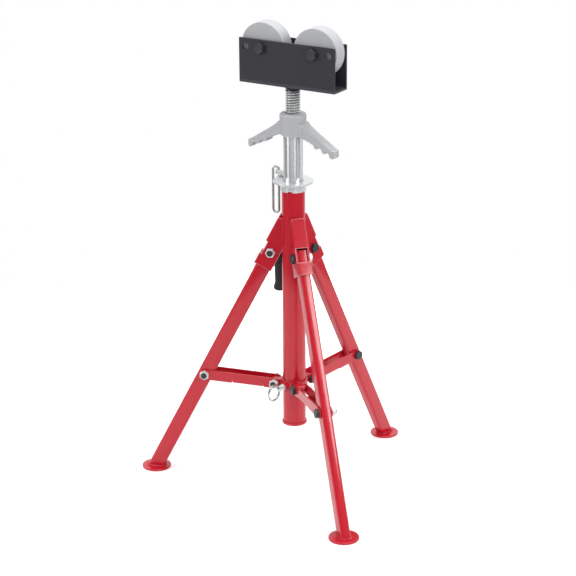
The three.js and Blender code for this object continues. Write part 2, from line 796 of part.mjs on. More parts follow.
function axleBolt() {
  const seat = channelOutside + seatGap;
  const reach = 2 * seat + axleNutHeight + boltEndReach;
  const body = bolt(axleHexWidth, axleHeadHeight, axleDiameter, reach);
  return solid(alongY(geometryOf(body)).translate(0, -seat, 0));
}

function axleNut() {
  const seat = channelOutside + seatGap;
  const nut = solid(hexagon(axleHexWidth, seat, seat + axleNutHeight));
  const hole = solid(bar(axleDiameter / 2 + boltGap, 0, 2 * (seat + axleNutHeight), holeSides));
  return solid(alongY(geometryOf(nut.subtract(hole))));
}

const stand = new THREE.Group();
stand.position.set(mastX, mastY, 0);

addPiece(stand, 'main_tube', mainTube(), 'redPaint');
addPiece(stand, 'tube_end_ring', endRing(), 'redPaint');
addPiece(stand, 'sliding_collar', slidingCollar(), 'redPaint');

legAzimuths.forEach((azimuth, index) => {
  const number = index + 1;
  const outward = spoke(stand, azimuth);
  const leg = new THREE.Group();
  leg.applyMatrix4(legFrame());
  outward.add(leg);
  addPiece(leg, `leg_bracket_${number}`, legBracket(), 'redPaint');
  addPiece(leg, `leg_tube_${number}`, legTube(), 'redPaint');
  addPiece(leg, `leg_pivot_bolt_${number}`, crossBolt(cheekOutside), 'blackSteel');
  addPiece(leg, `leg_pivot_nut_${number}`, crossNut(cheekOutside), 'zinc');
  addPiece(outward, `foot_plate_${number}`, footPlate(), 'redPaint');
  const strut = new THREE.Group();
  strut.position.set(lugRadius, 0, collarMiddle);
  strut.rotation.y = -braceTilt;
  outward.add(strut);
  const farEnd = new THREE.Group();
  farEnd.position.x = braceLength;
  strut.add(farEnd);
  addPiece(strut, `brace_${number}`, brace(), 'redPaint');
  addPiece(strut, `brace_collar_bolt_${number}`, crossBolt(braceOutside), 'blackSteel');
  addPiece(strut, `brace_collar_nut_${number}`, crossNut(braceOutside), 'zinc');
  addPiece(farEnd, `brace_leg_bolt_${number}`, legEndBolt(), 'blackSteel');
  addPiece(farEnd, `brace_leg_nut_${number}`, legEndNut(), 'zinc');
});

const lock = spoke(stand, plungerAzimuth);
lock.position.z = collarMiddle;
addPiece(lock, 'lock_plunger', lockPlunger(), 'zinc');
addPiece(lock, 'lock_pull_ring', pullRing(), 'zinc');

const clamp = spoke(stand, clampAzimuth);
clamp.position.z = clampHeight;
addPiece(clamp, 'clamp_boss', clampBoss(), 'redPaint');
addPiece(clamp, 'clamp_lever', clampLever(), 'zinc');
addPiece(clamp, 'clamp_grip', clampGrip(), 'rubber');

addPiece(stand, 'top_flange', topFlange(), 'zinc');
addPiece(stand, 'inner_tube', innerTube(), 'zinc');
const pin = spoke(stand, pinAzimuth);
pin.position.z = pinHeight;
addPiece(pin, 'height_pin', heightPin(), 'zinc');
addPiece(pin, 'pin_wire_loop', pinLoop(), 'zinc');

const washerRadius = innerTubeRadius + washerOverhang;
const washer = ring(washerRadius, screwDiameter / 2 + boltGap, washerTop - washerThickness, washerTop);
addPiece(stand, 'thrust_washer', solid(washer), 'zinc');
addPiece(stand, 'wing_nut', wingNut(), 'castGrey');
addPiece(stand, 'lift_screw', liftScrew(), 'zinc');
addPiece(stand, 'roller_channel', rollerChannel(), 'blackPaint');

[-1, 1].forEach((side, index) => {
  const number = index + 1;
  const axle = new THREE.Group();
  axle.position.set(side * axleOffset, 0, axleHeight);
  stand.add(axle);
  const half = wheelWidth / 2;
  const near = half + seatGap;
  const far = near + spacerLength;
  const bushRadius = axleDiameter / 2 + boltGap + bushWall;
  const spacerRadius = axleDiameter / 2 + boltGap + spacerWall;
  addPiece(axle, `wheel_${number}`, wheel(), 'wheelGrey');
  addPiece(axle, `wheel_bush_${number}`, axleRing(bushRadius, -half, half), 'castGrey');
  addPiece(axle, `wheel_spacer_front_${number}`, axleRing(spacerRadius, -far, -near), 'zinc');
  addPiece(axle, `wheel_spacer_back_${number}`, axleRing(spacerRadius, near, far), 'zinc');
  addPiece(axle, `axle_bolt_${number}`, axleBolt(), 'blackSteel');
  addPiece(axle, `axle_nut_${number}`, axleNut(), 'blackSteel');
});

export default stand;
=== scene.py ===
"""Looks of a folding tripod roller stand: red enamelled tripod, zinc mast, black roller head.

Shapes are worked out in millimetres, and become metres where a mesh is made. The lamps and the camera are
placed in metres."""
from math import atan2, cos, hypot, pi, radians, sin, sqrt, tan
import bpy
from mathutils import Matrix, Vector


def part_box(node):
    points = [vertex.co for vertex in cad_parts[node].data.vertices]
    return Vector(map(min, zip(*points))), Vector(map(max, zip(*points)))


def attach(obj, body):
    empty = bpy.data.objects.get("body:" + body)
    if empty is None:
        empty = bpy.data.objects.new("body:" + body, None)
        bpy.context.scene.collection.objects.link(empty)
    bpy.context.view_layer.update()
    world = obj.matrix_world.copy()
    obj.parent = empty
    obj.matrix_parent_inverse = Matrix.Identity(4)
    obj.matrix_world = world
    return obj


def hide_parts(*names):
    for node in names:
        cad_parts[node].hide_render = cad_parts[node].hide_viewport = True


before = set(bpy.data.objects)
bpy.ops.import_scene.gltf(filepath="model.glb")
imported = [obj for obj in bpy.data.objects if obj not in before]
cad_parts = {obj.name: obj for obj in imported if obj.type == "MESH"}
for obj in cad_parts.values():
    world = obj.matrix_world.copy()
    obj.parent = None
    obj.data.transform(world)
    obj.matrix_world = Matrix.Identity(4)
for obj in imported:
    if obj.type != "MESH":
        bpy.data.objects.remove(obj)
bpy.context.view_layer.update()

from types import SimpleNamespace

import bmesh
import bpy
import numpy as np
from bpy.props import FloatProperty, FloatVectorProperty, PointerProperty
from bpy.types import Operator, Panel, PropertyGroup
from mathutils import Matrix

bl_info = {
    "name": "Roller stand",
    "version": (1, 0, 0),
    "blender": (4, 5, 0),
    "location": "View3D > Sidebar > Roller stand",
    "description": "Dresses the packed roller stand with its finished surfaces",
    "category": "Object",
}

MM = 0.001
LEGS = (1, 2, 3)
# the side of the mast, along x, that each wheel stands on
WHEEL_SIDES = {1: -1, 2: 1}
# gaps in millimetres: between pieces that fit into each other, inside a brace's cheeks, and at a seat
GAP, BRACE_GAP, SEAT_GAP = 0.3, 0.5, 0.2


def linear(code):
    """sRGB hex to linear red, green, blue."""
    value = np.array([int(code[i:i + 2], 16) for i in (0, 2, 4)]) / 255
    return tuple(np.where(value <= 0.04045, value / 12.92, ((value + 0.055) / 1.055) ** 2.4))


def length(name, text, default):
    """A length property, its default given in millimetres."""
    return FloatProperty(name=name, description=text, default=default * MM, unit="LENGTH", precision=4)


def degrees(name, text, default):
    """An angle property, its default given in degrees."""
    return FloatProperty(name=name, description=text, default=radians(default), subtype="ANGLE")


def colour(name, text, code):
    """A colour property, its default given as an sRGB hex value."""
    return FloatVectorProperty(
        name=name, description=text, default=linear(code), subtype="COLOR", min=0, max=1)


def spans(node):
    """A node's box in millimetres: its middle, half sizes, and bottom and top above the floor."""
    low, high = (np.array(corner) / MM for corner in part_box(node))
    return SimpleNamespace(middle=(low + high) / 2, half=(high - low) / 2, bottom=low[2], top=high[2])


tube_box, inner_box, flange_box = map(spans, ("main_tube", "inner_tube", "top_flange"))
washer_box, screw_box = map(spans, ("thrust_washer", "lift_screw"))
channel_box, wheel_box = map(spans, ("roller_channel", "wheel_2"))


class StandSizes(PropertyGroup):
    """Sizes of the stand's surfaces."""

    tube_radius: length("Main tube radius", "Outside of the red tube", tube_box.half[0])
    tube_wall: length("Main tube wall", "Wall of the red tube", 3)
    edge: length("Edge radius", "Small rounding on sheet and tube edges", 0.6)
    leg_slope: degrees("Leg slope", "Lean of the legs from the upright", 27.24)
    first_leg: degrees("First leg", "Bearing of the front leg about the mast", -40)
    pivot_radius: length("Pivot radius", "Leg pivot from the mast axis", 43)
    pivot_height: length("Pivot height", "Leg pivot above the floor", tube_box.top - 140)
    leg_depth: length("Leg depth", "Leg tube's long side", 30)
    leg_width: length("Leg width", "Leg tube's short side", 20)
    leg_wall: length("Leg wall", "Leg tube's wall", 2)
    leg_corner: length("Leg corner", "Leg tube's corner radius", 4)
    foot_radius: length("Foot radius", "Round foot plate", 29)
    foot_height: length("Foot height", "Foot plate's thickness", 4)
    bead: length("Weld bead", "Radius of a weld bead", 1.9)
    bracket_sheet: length("Bracket sheet", "Sheet of the leg brackets", 3.5)
    bracket_bend: length("Bracket bend", "Outside radius of the bracket's bends", 2)
    brace_sheet: length("Brace sheet", "Sheet of the braces", 2.5)
    brace_depth: length("Brace depth", "Height of a brace's cheek", 21)
    collar_height: length("Collar height", "Middle of the collar above the floor", tube_box.bottom + 84.6)
    lug_radius: length("Lug radius", "Collar lug's bolt from the mast axis", 38.7)
    brace_rise: length("Brace rise", "Leg end of the brace above its collar end", 8.1)
    hexagon: length("Tripod hexagon", "Across flats of the tripod's bolts", 17)
    bolt: length("Tripod bolt", "Tripod bolt's diameter", 10)
    axle_hexagon: length("Axle hexagon", "Across flats of the axle bolts", 19)
    axle: length("Axle bolt", "Axle bolt's diameter", 12)
    thread_pitch: length("Lift screw pitch", "Rise of the lift screw in one turn", 5)
    thread_depth: length("Lift screw depth", "Depth of the lift screw's thread", 2.6)
    channel_sheet: length("Channel sheet", "Sheet of the roller channel", 4)
    channel_bend: length("Channel bend", "Outside radius of the channel's bends", 2)
    wheel_edge: length("Wheel edge", "Rounding of the wheel's rim", 1.4)


class StandColours(PropertyGroup):
    """Colours of the stand's finishes."""

    enamel: colour("Red enamel", "Paint of the tripod", "bf1529")
    # the pale edge colour is a painted highlight: it stands in for glints along sharp edges
    thin_enamel: colour("Painted glint enamel", "Painted highlight along sharp edges", "e0959a")
    channel: colour("Black paint", "Paint of the roller channel", "333137")
    oxide: colour("Black oxide", "Finish of the bolts", "38383b")
    zinc: colour("Bright zinc", "Plating of the mast and small pieces", "d9dcdd")
    casting: colour("Cast grey", "Wing nut's casting", "b2b3b6")
    wheel: colour("Wheel grey", "Rollers", "b0b1b4")
    bronze: colour("Bronze", "Wheel bushes", "a5855c")
    rubber: colour("Grip rubber", "Clamp lever's grip", "2c292c")
    floor: colour("Floor", "Studio floor", "f2f2f2")


def sizes():
    """The sizes as they are set: lengths in millimetres, angles in radians."""
    group = bpy.context.scene.stand_sizes
    kinds = group.bl_rna.properties
    return SimpleNamespace(**{
        name: getattr(group, name) / (MM if kinds[name].unit == "LENGTH" else 1)
        for name in StandSizes.__annotations__})


def colours():
    """The colours as they are set."""
    return bpy.context.scene.stand_colours


# Places

def shift(x, y, z):
    """4 x 4 matrix that moves by x, y, z."""
    matrix = np.eye(4)
    matrix[:3, 3] = x, y, z
    return matrix


def turn(axis, angle):
    """4 x 4 matrix that turns about an axis by the right-hand rule."""
    return np.array(Matrix.Rotation(angle, 4, axis))


# turns +Z to +X, and +Z to +Y
ALONG_X, ALONG_Y = turn("Y", pi / 2), turn("X", -pi / 2)


def moved(shell, matrix):
    """A shell carried through a 4 x 4 matrix."""
    points, faces = shell
    return points @ matrix[:3, :3].T + matrix[:3, 3], faces


def mast_frame(bearing=0.0, height=0.0):
    """Frame on the mast axis, x pointing out on a bearing."""
    return shift(*tube_box.middle[:2], height) @ turn("Z", bearing)


def leg_bearing(number):
    """A leg's bearing about the mast, an even share of a turn from one leg to the next."""
    return sizes().first_leg + (number - 1) * 2 * pi / len(LEGS)


def leg_reach(height):
    """Distance of a leg's middle line from the mast axis at a height above the floor."""
    s = sizes()
    return s.pivot_radius + (s.pivot_height - height) * tan(s.leg_slope)


def leg_frame(number):
    """The leg's own frame: origin at its pivot, z up along the leg, x out from it."""
    s = sizes()
    pivot = mast_frame(leg_bearing(number)) @ shift(s.pivot_radius, 0, s.pivot_height)
    return pivot @ turn("Y", -s.leg_slope)


def brace_run():
    """A brace's level run and its length between bolts."""
    s = sizes()
    run = leg_reach(s.collar_height + s.brace_rise) - s.lug_radius
    return run, hypot(run, s.brace_rise)


def brace_frame(number):
    """The brace's own frame: origin at the collar lug, x along the brace to the leg."""
    s = sizes()
    lug = mast_frame(leg_bearing(number)) @ shift(s.lug_radius, 0, s.collar_height)
    return lug @ turn("Y", -atan2(s.brace_rise, brace_run()[0]))


def bracket_half():
    """Half the width over a bracket's cheeks."""
    return sizes().leg_width / 2 + GAP + sizes().bracket_sheet


def brace_half():
    """Half the width over a brace's cheeks."""
    return sizes().leg_width / 2 + BRACE_GAP + sizes().brace_sheet


def axle_frame(side):
    """An axle's own frame: origin in the middle of its wheel, z along the axle to the back."""
    offset = side * (wheel_box.middle[0] - tube_box.middle[0])
    return mast_frame(0, wheel_box.middle[2]) @ shift(offset, 0, 0) @ ALONG_Y


# Surfaces

def unit(vectors):
    """Vectors brought to length 1."""
    return vectors / np.linalg.norm(vectors, axis=-1, keepdims=True)


def around(count):
    """Angles of a full turn in even steps."""
    return np.linspace(0, 2 * pi, count, endpoint=False)


def polar(radius, angle, height):
    """Points at a radius, angle and height about z, each a number or an array."""
    return np.stack(np.broadcast_arrays(radius * np.cos(angle), radius * np.sin(angle), height), -1)


def raised(line, height):
    """A line in the xy plane lifted to one height, or to a height for each point."""
    return np.column_stack([line, np.broadcast_to(height, len(line))])


def run_along(path):
    """Distance along a path at each of its points."""
    return np.concatenate([[0], np.cumsum(np.linalg.norm(np.diff(path, axis=0), axis=1))])


def directions(path, closed):
    """Unit direction of a path at each point, from its neighbours on either side."""
    return unit(np.roll(path, -1, 0) - np.roll(path, 1, 0) if closed else np.gradient(path, axis=0))


def resampled(line, spacing):
    """Points at an even spacing around a closed line of points."""
    line = np.concatenate([line, line[:1]])
    run = run_along(line)
    share = np.linspace(0, run[-1], round(run[-1] / spacing), endpoint=False)
    return np.stack([np.interp(share, run, values) for values in line.T], -1)


def grid(points, ring=True, loop=False, ends=(False, False)):
    """Shell over a grid of rows and columns. ring joins the last column to the first, loop the last
    row to the first, and ends closes the first and last row with one face each."""
    rows, columns = points.shape[:2]
    index = np.arange(rows * columns).reshape(rows, columns)
    joined = np.pad(index, ((0, int(loop)), (0, int(ring))), "wrap")
    quads = np.stack([joined[:-1, :-1], joined[:-1, 1:], joined[1:, 1:], joined[1:, :-1]], -1)
    faces = quads.reshape(-1, 4).tolist()
    if ends[0]:
        faces.append(index[0, ::-1].tolist())
    if ends[1]:
        faces.append(index[-1].tolist())
    return points.reshape(-1, 3), faces


def rounded(corners, radii, steps=5):
    """Closed outline with its corners rounded: a corner with a radius gives way to an arc that touches both
    its sides and turns evenly from the one touching point to the other."""
    corners = np.array(corners, float)
    share = np.linspace(0, 1, steps + 1)[:, None]
    line = []
    for last, corner, following, radius in zip(
            np.roll(corners, 1, 0), corners, np.roll(corners, -1, 0), np.broadcast_to(radii, len(corners))):
        if radius == 0:
            line.append(corner[None])
            continue
        # an arc takes up less than half of either side
        reach = 0.49 * min(np.linalg.norm(last - corner), np.linalg.norm(following - corner))
        to_last, to_next = unit(last - corner), unit(following - corner)
        half = np.arccos(np.clip(to_last @ to_next, -1, 1)) / 2
        radius = min(radius, reach * tan(half))
        centre = corner + unit(to_last + to_next) * radius / sin(half)
        start, stop = (corner + side * radius / tan(half) - centre for side in (to_last, to_next))
        sweep = pi - 2 * half
        arc = (np.sin((1 - share) * sweep) * start + np.sin(share * sweep) * stop) / sin(sweep)
        line.append(centre + arc)
    return np.concatenate(line)


def turned(profile, sides=96):
    """Solid of revolution: a closed line of radius and height pairs swept around z."""
    radius, height = np.split(np.asarray(profile, float), 2, 1)
    return grid(polar(radius, around(sides), height), loop=True)


def hoop(inner, outer, low, high, radii, sides=96, steps=5):
    """Turned ring or disc of a rectangular section, its corner radii from the inner low corner outwards."""
    return turned(rounded([(inner, low), (outer, low), (outer, high), (inner, high)], radii, steps), sides)


def rod(radius, low, high, chamfer=0.8, sides=48):
    """Round bar along z with rounded ends."""
    return hoop(0, radius, low, high, (0, chamfer, chamfer, 0), sides)


def carried(section, path, side, up, scale=1.0, loop=False):
    """Section carried along a path: each point is path + scale * (a * side + b * up), with one scale for
    all, for each row or for each point."""
    path = np.asarray(path, float)
    side, up = (np.broadcast_to(value, path.shape)[:, None] for value in (side, up))
    points = path[:, None] + np.asarray(scale)[..., None] * (section[:, :1] * side + section[:, 1:] * up)
    return grid(points, loop=loop, ends=(not loop, not loop))


def circle(radius, sides):
    """Points on a circle about the origin, in even steps."""
    return polar(radius, around(sides), 0)[:, :2]


def box_outline(width, height, radius, steps=6):
    """Rectangle about the origin with round corners."""
    w, h = width / 2, height / 2
    return rounded([(w, -h), (w, h), (-w, h), (-w, -h)], radius, steps)


def crowned(width, height, radius, rise=0.35, spacing=1.2):
    """Outline of a rolled tube: a round-cornered box whose sides fall away by a small rise towards the
    corners, by the square of the distance from the middle."""
    line = resampled(box_outline(width, height, radius), spacing)
    share = line / (np.array([width, height]) / 2)
    return line - rise * np.sign(line) * share[:, ::-1] ** 2 * np.abs(share)


def prism(outline, low, high):
    """Outline in the xy plane pushed from z = low to z = high."""
    return carried(outline, [(0, 0, low), (0, 0, high)], (1, 0, 0), (0, 1, 0))


def bead(path, radius, closed=False, pitch=3.0, ripple=0.13):
    """Weld bead: a round section along a path, its radius rippling once a pitch as the puddle froze. An open
    bead draws in towards its ends."""
    along = directions(path, closed)
    run = run_along(path)
    upright = np.abs(along[:, 2:]) > 0.9
    side = unit(np.cross(np.where(upright, [[1.0, 0, 0]], [[0, 0, 1.0]]), along))
    scale = 1 + ripple * np.cos(2 * pi * run / pitch)
    if not closed:
        scale *= np.clip(np.minimum(run, run[-1] - run) / (2 * radius), 0.25, 1) ** 0.5
    return carried(circle(radius, 12), path, side, np.cross(along, side), scale[:, None], closed)


def hex_head(width, height, bore=0.0, collar=0.0, dish=0.0):
    """Hexagon with a chamfered top face, from z = 0 up to its height. A flat lies half the width from the
    axis, over the cosine of the angle from its middle. The chamfer is a cone of 30 degrees that starts on a
    circle inside the flats. collar adds a round lip on top, bore a hole and dish a shallow hollow."""
    angle = around(72)
    side = width / 2 / np.cos((angle + pi / 6) % (pi / 3) - pi / 6)
    flat, lip = 0.475 * width, 0.42 * width
    top = height - collar
    # radius and height of each row, from the hole's lower edge out and over the top
    rows = [(bore, 0), (0.97 * side, 0), (side, 0.03 * width),
            (side, top - np.maximum(side - flat, 0) * tan(pi / 6)), (flat, top)]
    if collar:
        rows += [(lip, top), (lip, height - 0.4 * collar), (lip - 0.35 * collar, height),
                 (bore + 0.9 * collar, height), (bore + 0.3 * collar, height - 0.5 * collar)]
    else:
        rows.append((0.7 * flat, top - dish))
    rows.append((bore, height - 0.7 * collar - dish))
    return grid(np.array([polar(radius, angle, z) for radius, z in rows]), loop=True)


def thread_rod(radius, depth, pitch, low, high, columns=64, rows=14, flatness=2.6):
    """Threaded bar along z: the radius swings between root and crest once a turn, in step with the angle.
    The swing is a wave made taller by its flatness and clipped. It runs out over half a pitch at the ends."""
    angle = around(columns)
    height = np.linspace(low, high, int((high - low) / pitch * rows))[:, None]
    swing = np.clip(flatness * np.cos(2 * pi * height / pitch - angle), -1, 1)
    lead = np.clip(np.minimum(height - low, high - height) / (0.5 * pitch), 0, 1)
    return grid(polar(radius - depth * (1 - lead * (1 + swing) / 2), angle, height), ends=(True, True))


# Pieces

def reworked(mesh, change):
    """Runs a change on a mesh as a bmesh."""
    work = bmesh.new()
    work.from_mesh(mesh)
    change(work)
    work.to_mesh(mesh)
    work.free()


def merge(work):
    """Merges points that lie within a thousandth of a millimetre."""
    bmesh.ops.remove_doubles(work, verts=work.verts, dist=0.001 * MM)


def close_up(work):
    """Merges doubles and turns the faces outward."""
    merge(work)
    bmesh.ops.recalc_face_normals(work, faces=work.faces)


def face_away(work):
    """Turns an open sheet's faces away from the plane y = 0, by the sum of their area times the distance from
    it along their normals."""
    away = sum(face.calc_area() * face.normal.y * face.calc_center_median().y for face in work.faces)
    if away < 0:
        bmesh.ops.reverse_faces(work, faces=work.faces)


def mesh_of(name, shells):
    """One mesh from shells, turned to metres, its doubles merged and its faces turned outward."""
    start = np.cumsum([0] + [len(points) for points, _ in shells])
    points = np.concatenate([points for points, _ in shells]) * MM
    faces = [[i + first for i in face] for first, (_, part) in zip(start, shells) for face in part]
    mesh = bpy.data.meshes.new(name)
    mesh.from_pydata(points, [], faces)
    reworked(mesh, close_up)
    return mesh


def new_object(name, data):
    """New object in the scene's own collection."""
    item = bpy.data.objects.new(name, data)
    bpy.context.scene.collection.objects.link(item)
    return item


def solid(name, shells, place):
    """New object from shells that are moved to their place."""
    return new_object(name, mesh_of(name, [moved(shell, place) for shell in shells]))


def cut(item, shells, place, operation="DIFFERENCE"):
    """Cuts placed shells out of an object, or keeps only what lies in them."""
    tool = solid(item.name + "_tool", shells, place)
    step = item.modifiers.new("cut", "BOOLEAN")
    step.operation = operation
    step.object = tool
    step.solver = "EXACT"
    bpy.context.view_layer.update()
    done = bpy.data.meshes.new_from_object(item.evaluated_get(bpy.context.evaluated_depsgraph_get()))
    item.modifiers.clear()
    item.data = done
    bpy.data.objects.remove(tool)


def dress(item, finish, body, node=None, edge=0.0, sharp=32, edge_glint=None):
    """Gives an object its finish, edges and place: smooth faces with sharp edges past an angle, a bevel
    along them that can take a second finish as a painted highlight, a body to ride on and the node that it
    stands for."""
    mesh = item.data
    material, slot = finish
    mesh.shade_smooth()
    mesh.set_sharp_from_angle(angle=radians(sharp))
    mesh.materials.clear()
    mesh.materials.append(material)
    if edge:
        step = item.modifiers.new("edges", "BEVEL")
        step.width = edge * MM
        step.segments = 2
        step.limit_method = "ANGLE"
        step.angle_limit = radians(40)
        # the bevel faces can take a second finish, a pale painted highlight along sharp edges
        if edge_glint:
            mesh.materials.append(edge_glint[0])
            step.material = 1
            step.use_clamp_overlap = False
    # long flat faces keep their own normals beside small roundings
    step = item.modifiers.new("flat_faces", "WEIGHTED_NORMAL")
    step.keep_sharp = True
    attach(item, body)
    if node:
        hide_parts(node)


def piece(name, shells, place, finish, body, node=None, **edges):
    """New object from shells at their place, dressed."""
    dress(solid(name, shells, place), finish, body, node, **edges)


# Finishes

def add(tree, kind, settings=(), **links):
    """Adds a node with its settings and links: a link or a value for each input by its name, or by its number
    after an underscore where inputs share a name."""
    item = tree.nodes.new("ShaderNode" + kind)
    for name, value in dict(settings).items():
        setattr(item, name, value)
    for name, value in links.items():
        socket = item.inputs[int(name[1:]) if name[0] == "_" else name.replace("_", " ")]
        if isinstance(value, bpy.types.NodeSocket):
            tree.links.new(value, socket)
        else:
            socket.default_value = value
    return item


def bare_tree(owner):
    """The node tree of a material or world, emptied."""
    owner.use_nodes = True
    owner.node_tree.nodes.clear()
    return owner.node_tree


def shade(base, share):
    """A colour made darker or paler by a share, with its alpha."""
    return (*np.clip(np.array(base[:3]) * share, 0, 1), 1)


def made_once(slot):
    """Decorator for a finish: it is made once, found again by its name, and given with its record slot."""
    def wrap(make):
        def found(*kind):
            name = "_".join((make.__name__, *kind))
            if name not in bpy.data.materials:
                make(name, *kind)
            return bpy.data.materials[name], slot
        return found
    return wrap


def coat(name, base, tones, cloud, roughs, patch, grain, relief, **constants):
    """A new finish on Object coordinates: colour clouds between two tones, roughness patches between two
    values and a grain of a height, each about one size across in millimetres. Constants go straight onto
    the shader. Gives what a finish needs to add to it."""
    tree = bare_tree(bpy.data.materials.new(name))
    where = add(tree, "TexCoord").outputs["Object"]
    clouds, patches, grains = (
        add(tree, "TexNoise", Vector=where, Scale=1 / (size * MM), Detail=detail).outputs["Fac"]
        for size, detail in ((cloud, 4.0), (patch, 3.0), (grain, 2.0)))
    dark, pale = (shade(base, share) for share in tones)
    tone = add(tree, "Mix", {"data_type": "RGBA"}, _0=clouds, _6=dark, _7=pale).outputs[2]
    rough = add(tree, "MapRange", _0=patches, _3=roughs[0], _4=roughs[1]).outputs[0]
    bump = add(tree, "Bump", Height=grains, Distance=relief * MM, Strength=0.5).outputs[0]
    shader = add(tree, "BsdfPrincipled", Base_Color=tone, Roughness=rough, Normal=bump, **constants)
    add(tree, "OutputMaterial", Surface=shader.outputs[0])
    return SimpleNamespace(tree=tree, where=where, tone=tone, bump=bump, shader=shader.inputs)


@made_once("red_paint")
def red_gloss_enamel(name, kind=None):
    """Sprayed gloss enamel on steel: a clear red with a soft orange peel, so its highlights are broad and
    speckled. The thin kind is a pale painted highlight for the bevels along sharp edges."""
    # the thin kind takes the pale painted-highlight colour for edge bevels
    base = colours().thin_enamel if kind == "thin" else colours().enamel
    # orange peel is about 2 mm from crest to crest
    paint = coat(name, base, tones=(0.92, 1.04), cloud=45, roughs=(0.30, 0.42), patch=12, grain=2.4,
                 relief=0.05, Specular_IOR_Level=0.12, Coat_Weight=0.8, Coat_Roughness=0.09)
    paint.tree.links.new(paint.bump, paint.shader["Coat Normal"])


@made_once("black_paint")
def satin_black_paint(name):
    """Satin black paint on hot-rolled sheet: even dark grey with a fine dry texture, and a paler painted
    highlight along the channel's bottom."""
    base = colours().channel
    paint = coat(name, base, tones=(0.88, 1.03), cloud=18, roughs=(0.42, 0.6), patch=6, grain=1.6,
                 relief=0.06, Specular_IOR_Level=0.28)
    # painted highlight: the colour turns paler over the channel's bottom 8 mm, most of the way below 5 mm
    height = add(paint.tree, "SeparateXYZ", Vector=paint.where).outputs["Z"]
    sheen_top, sheen_full, sheen_most = (channel_box.bottom + 8) * MM, (channel_box.bottom + 5) * MM, 0.6
    painted_sheen = add(paint.tree, "MapRange", _0=height, _1=sheen_top, _2=sheen_full, _4=sheen_most).outputs[0]
    paler = add(paint.tree, "Mix", {"data_type": "RGBA"}, _0=painted_sheen, _6=paint.tone, _7=shade(base, 2.2))
    paint.tree.links.new(paler.outputs[2], paint.shader["Base Color"])


@made_once("black_steel")
def black_oxide_steel(name):
    """Black oxide on forged steel bolts: dark, a little oily, grey where the light grazes."""
    coat(name, colours().oxide, tones=(0.8, 1.06), cloud=4, roughs=(0.34, 0.55), patch=2, grain=0.9,
         relief=0.04, Metallic=0.3)


@made_once("zinc_plate")
def bright_zinc(name, kind):
    """Bright zinc on steel: pale and cool, mirror-like under a thin chromate haze that scatters some of
    the light. Drawn tube adds faint lengthwise lines, and drawn wire is the clearest mirror."""
    metallic = {"plate": 0.5, "tube": 0.72, "wire": 0.92}[kind]
    tones = (0.70, 0.78) if kind == "wire" else (0.96, 1.06)
    plating = coat(name, colours().zinc, tones, cloud=14, roughs=(0.24, 0.34), patch=9, grain=4,
                   relief=0.008, Metallic=metallic)
    if kind == "tube":
        # draw lines about 0.8 mm apart around the tube and 120 mm long
        apart, long = 0.8 * MM, 120 * MM
        stretch = add(plating.tree, "Mapping", Vector=plating.where, Scale=(1 / apart, 1 / apart, 1 / long))
        lines = add(plating.tree, "TexNoise", Vector=stretch.outputs[0], Scale=1.0, Detail=2.0)
        rough = add(plating.tree, "MapRange", _0=lines.outputs["Fac"], _3=0.16, _4=0.30)
        plating.tree.links.new(rough.outputs[0], plating.shader["Roughness"])


@made_once("screw_steel")
def rolled_screw_steel(name):
    """Rolled trapezoid screw: bright steel crests over roots darkened with painted shade, with black
    overspray from the channel on its top turns."""
    bright = colours().zinc
    steel = coat(name, bright, tones=(0.9, 1.0), cloud=6, roughs=(0.2, 0.3), patch=3, grain=1.5, relief=0.01)
    tree, where = steel.tree, steel.where
    # distance from the screw's axis tells a crest from a root, and the roots are darkened with painted shade
    level = add(tree, "VectorMath", {"operation": "MULTIPLY_ADD"}, _0=where, _1=(1, 1, 0),
                _2=(*-screw_box.middle[:2] * MM, 0))
    reach = add(tree, "VectorMath", {"operation": "LENGTH"}, _0=level.outputs[0]).outputs["Value"]
    root, crest = (screw_box.half[0] - 2.4) * MM, (screw_box.half[0] - 0.5) * MM
    root_shade_fade = add(tree, "MapRange", _0=reach, _1=root, _2=crest).outputs[0]
    # painted shade: the roots take the steel at 0.42 of its brightness, fading out towards the crests
    metal = add(tree, "Mix", {"data_type": "RGBA"}, _0=root_shade_fade, _6=shade(bright, 0.42), _7=steel.tone).outputs[2]
    # overspray ends in a ragged edge, drops about 5 mm across pushing it up and down by 7 mm
    height = add(tree, "SeparateXYZ", Vector=where).outputs["Z"]
    drift = add(tree, "TexNoise", Vector=where, Scale=1 / (5 * MM), Detail=3.0).outputs["Fac"]
    ragged = add(tree, "Math", {"operation": "MULTIPLY_ADD"}, _0=drift, _1=7 * MM, _2=height).outputs[0]
    clear, covered = (screw_box.top - 8) * MM, (screw_box.top - 3) * MM
    spray = add(tree, "MapRange", _0=ragged, _1=clear, _2=covered).outputs[0]
    painted = add(tree, "Mix", {"data_type": "RGBA"}, _0=spray, _6=metal, _7=shade(colours().channel, 0.8))
    tree.links.new(painted.outputs[2], steel.shader["Base Color"])
    for socket, on_steel, on_spray in (("Metallic", 0.5, 0.0), ("Roughness", 0.24, 0.5)):
        value = add(tree, "MapRange", _0=spray, _3=on_steel, _4=on_spray)
        tree.links.new(value.outputs[0], steel.shader[socket])


@made_once("cast_grey")
def grey_casting(name):
    """Sand-cast alloy with a thin grey coat: matt, evenly grained, without sharp reflections."""
    # sand grain is about 0.5 mm and is drawn at 1.6 mm so that it shows
    coat(name, colours().casting, tones=(0.84, 1.2), cloud=2.4, roughs=(0.5, 0.65), patch=5, grain=1.6,
         relief=0.13, Metallic=0.2)


@made_once("wheel_grey")
def satin_grey_wheel(name):
    """Machined wheel with a satin grey skin: even, a little mottled, with a soft sheen on its tread."""
    coat(name, colours().wheel, tones=(0.95, 1.06), cloud=14, roughs=(0.42, 0.55), patch=4, grain=1.4,
         relief=0.04)


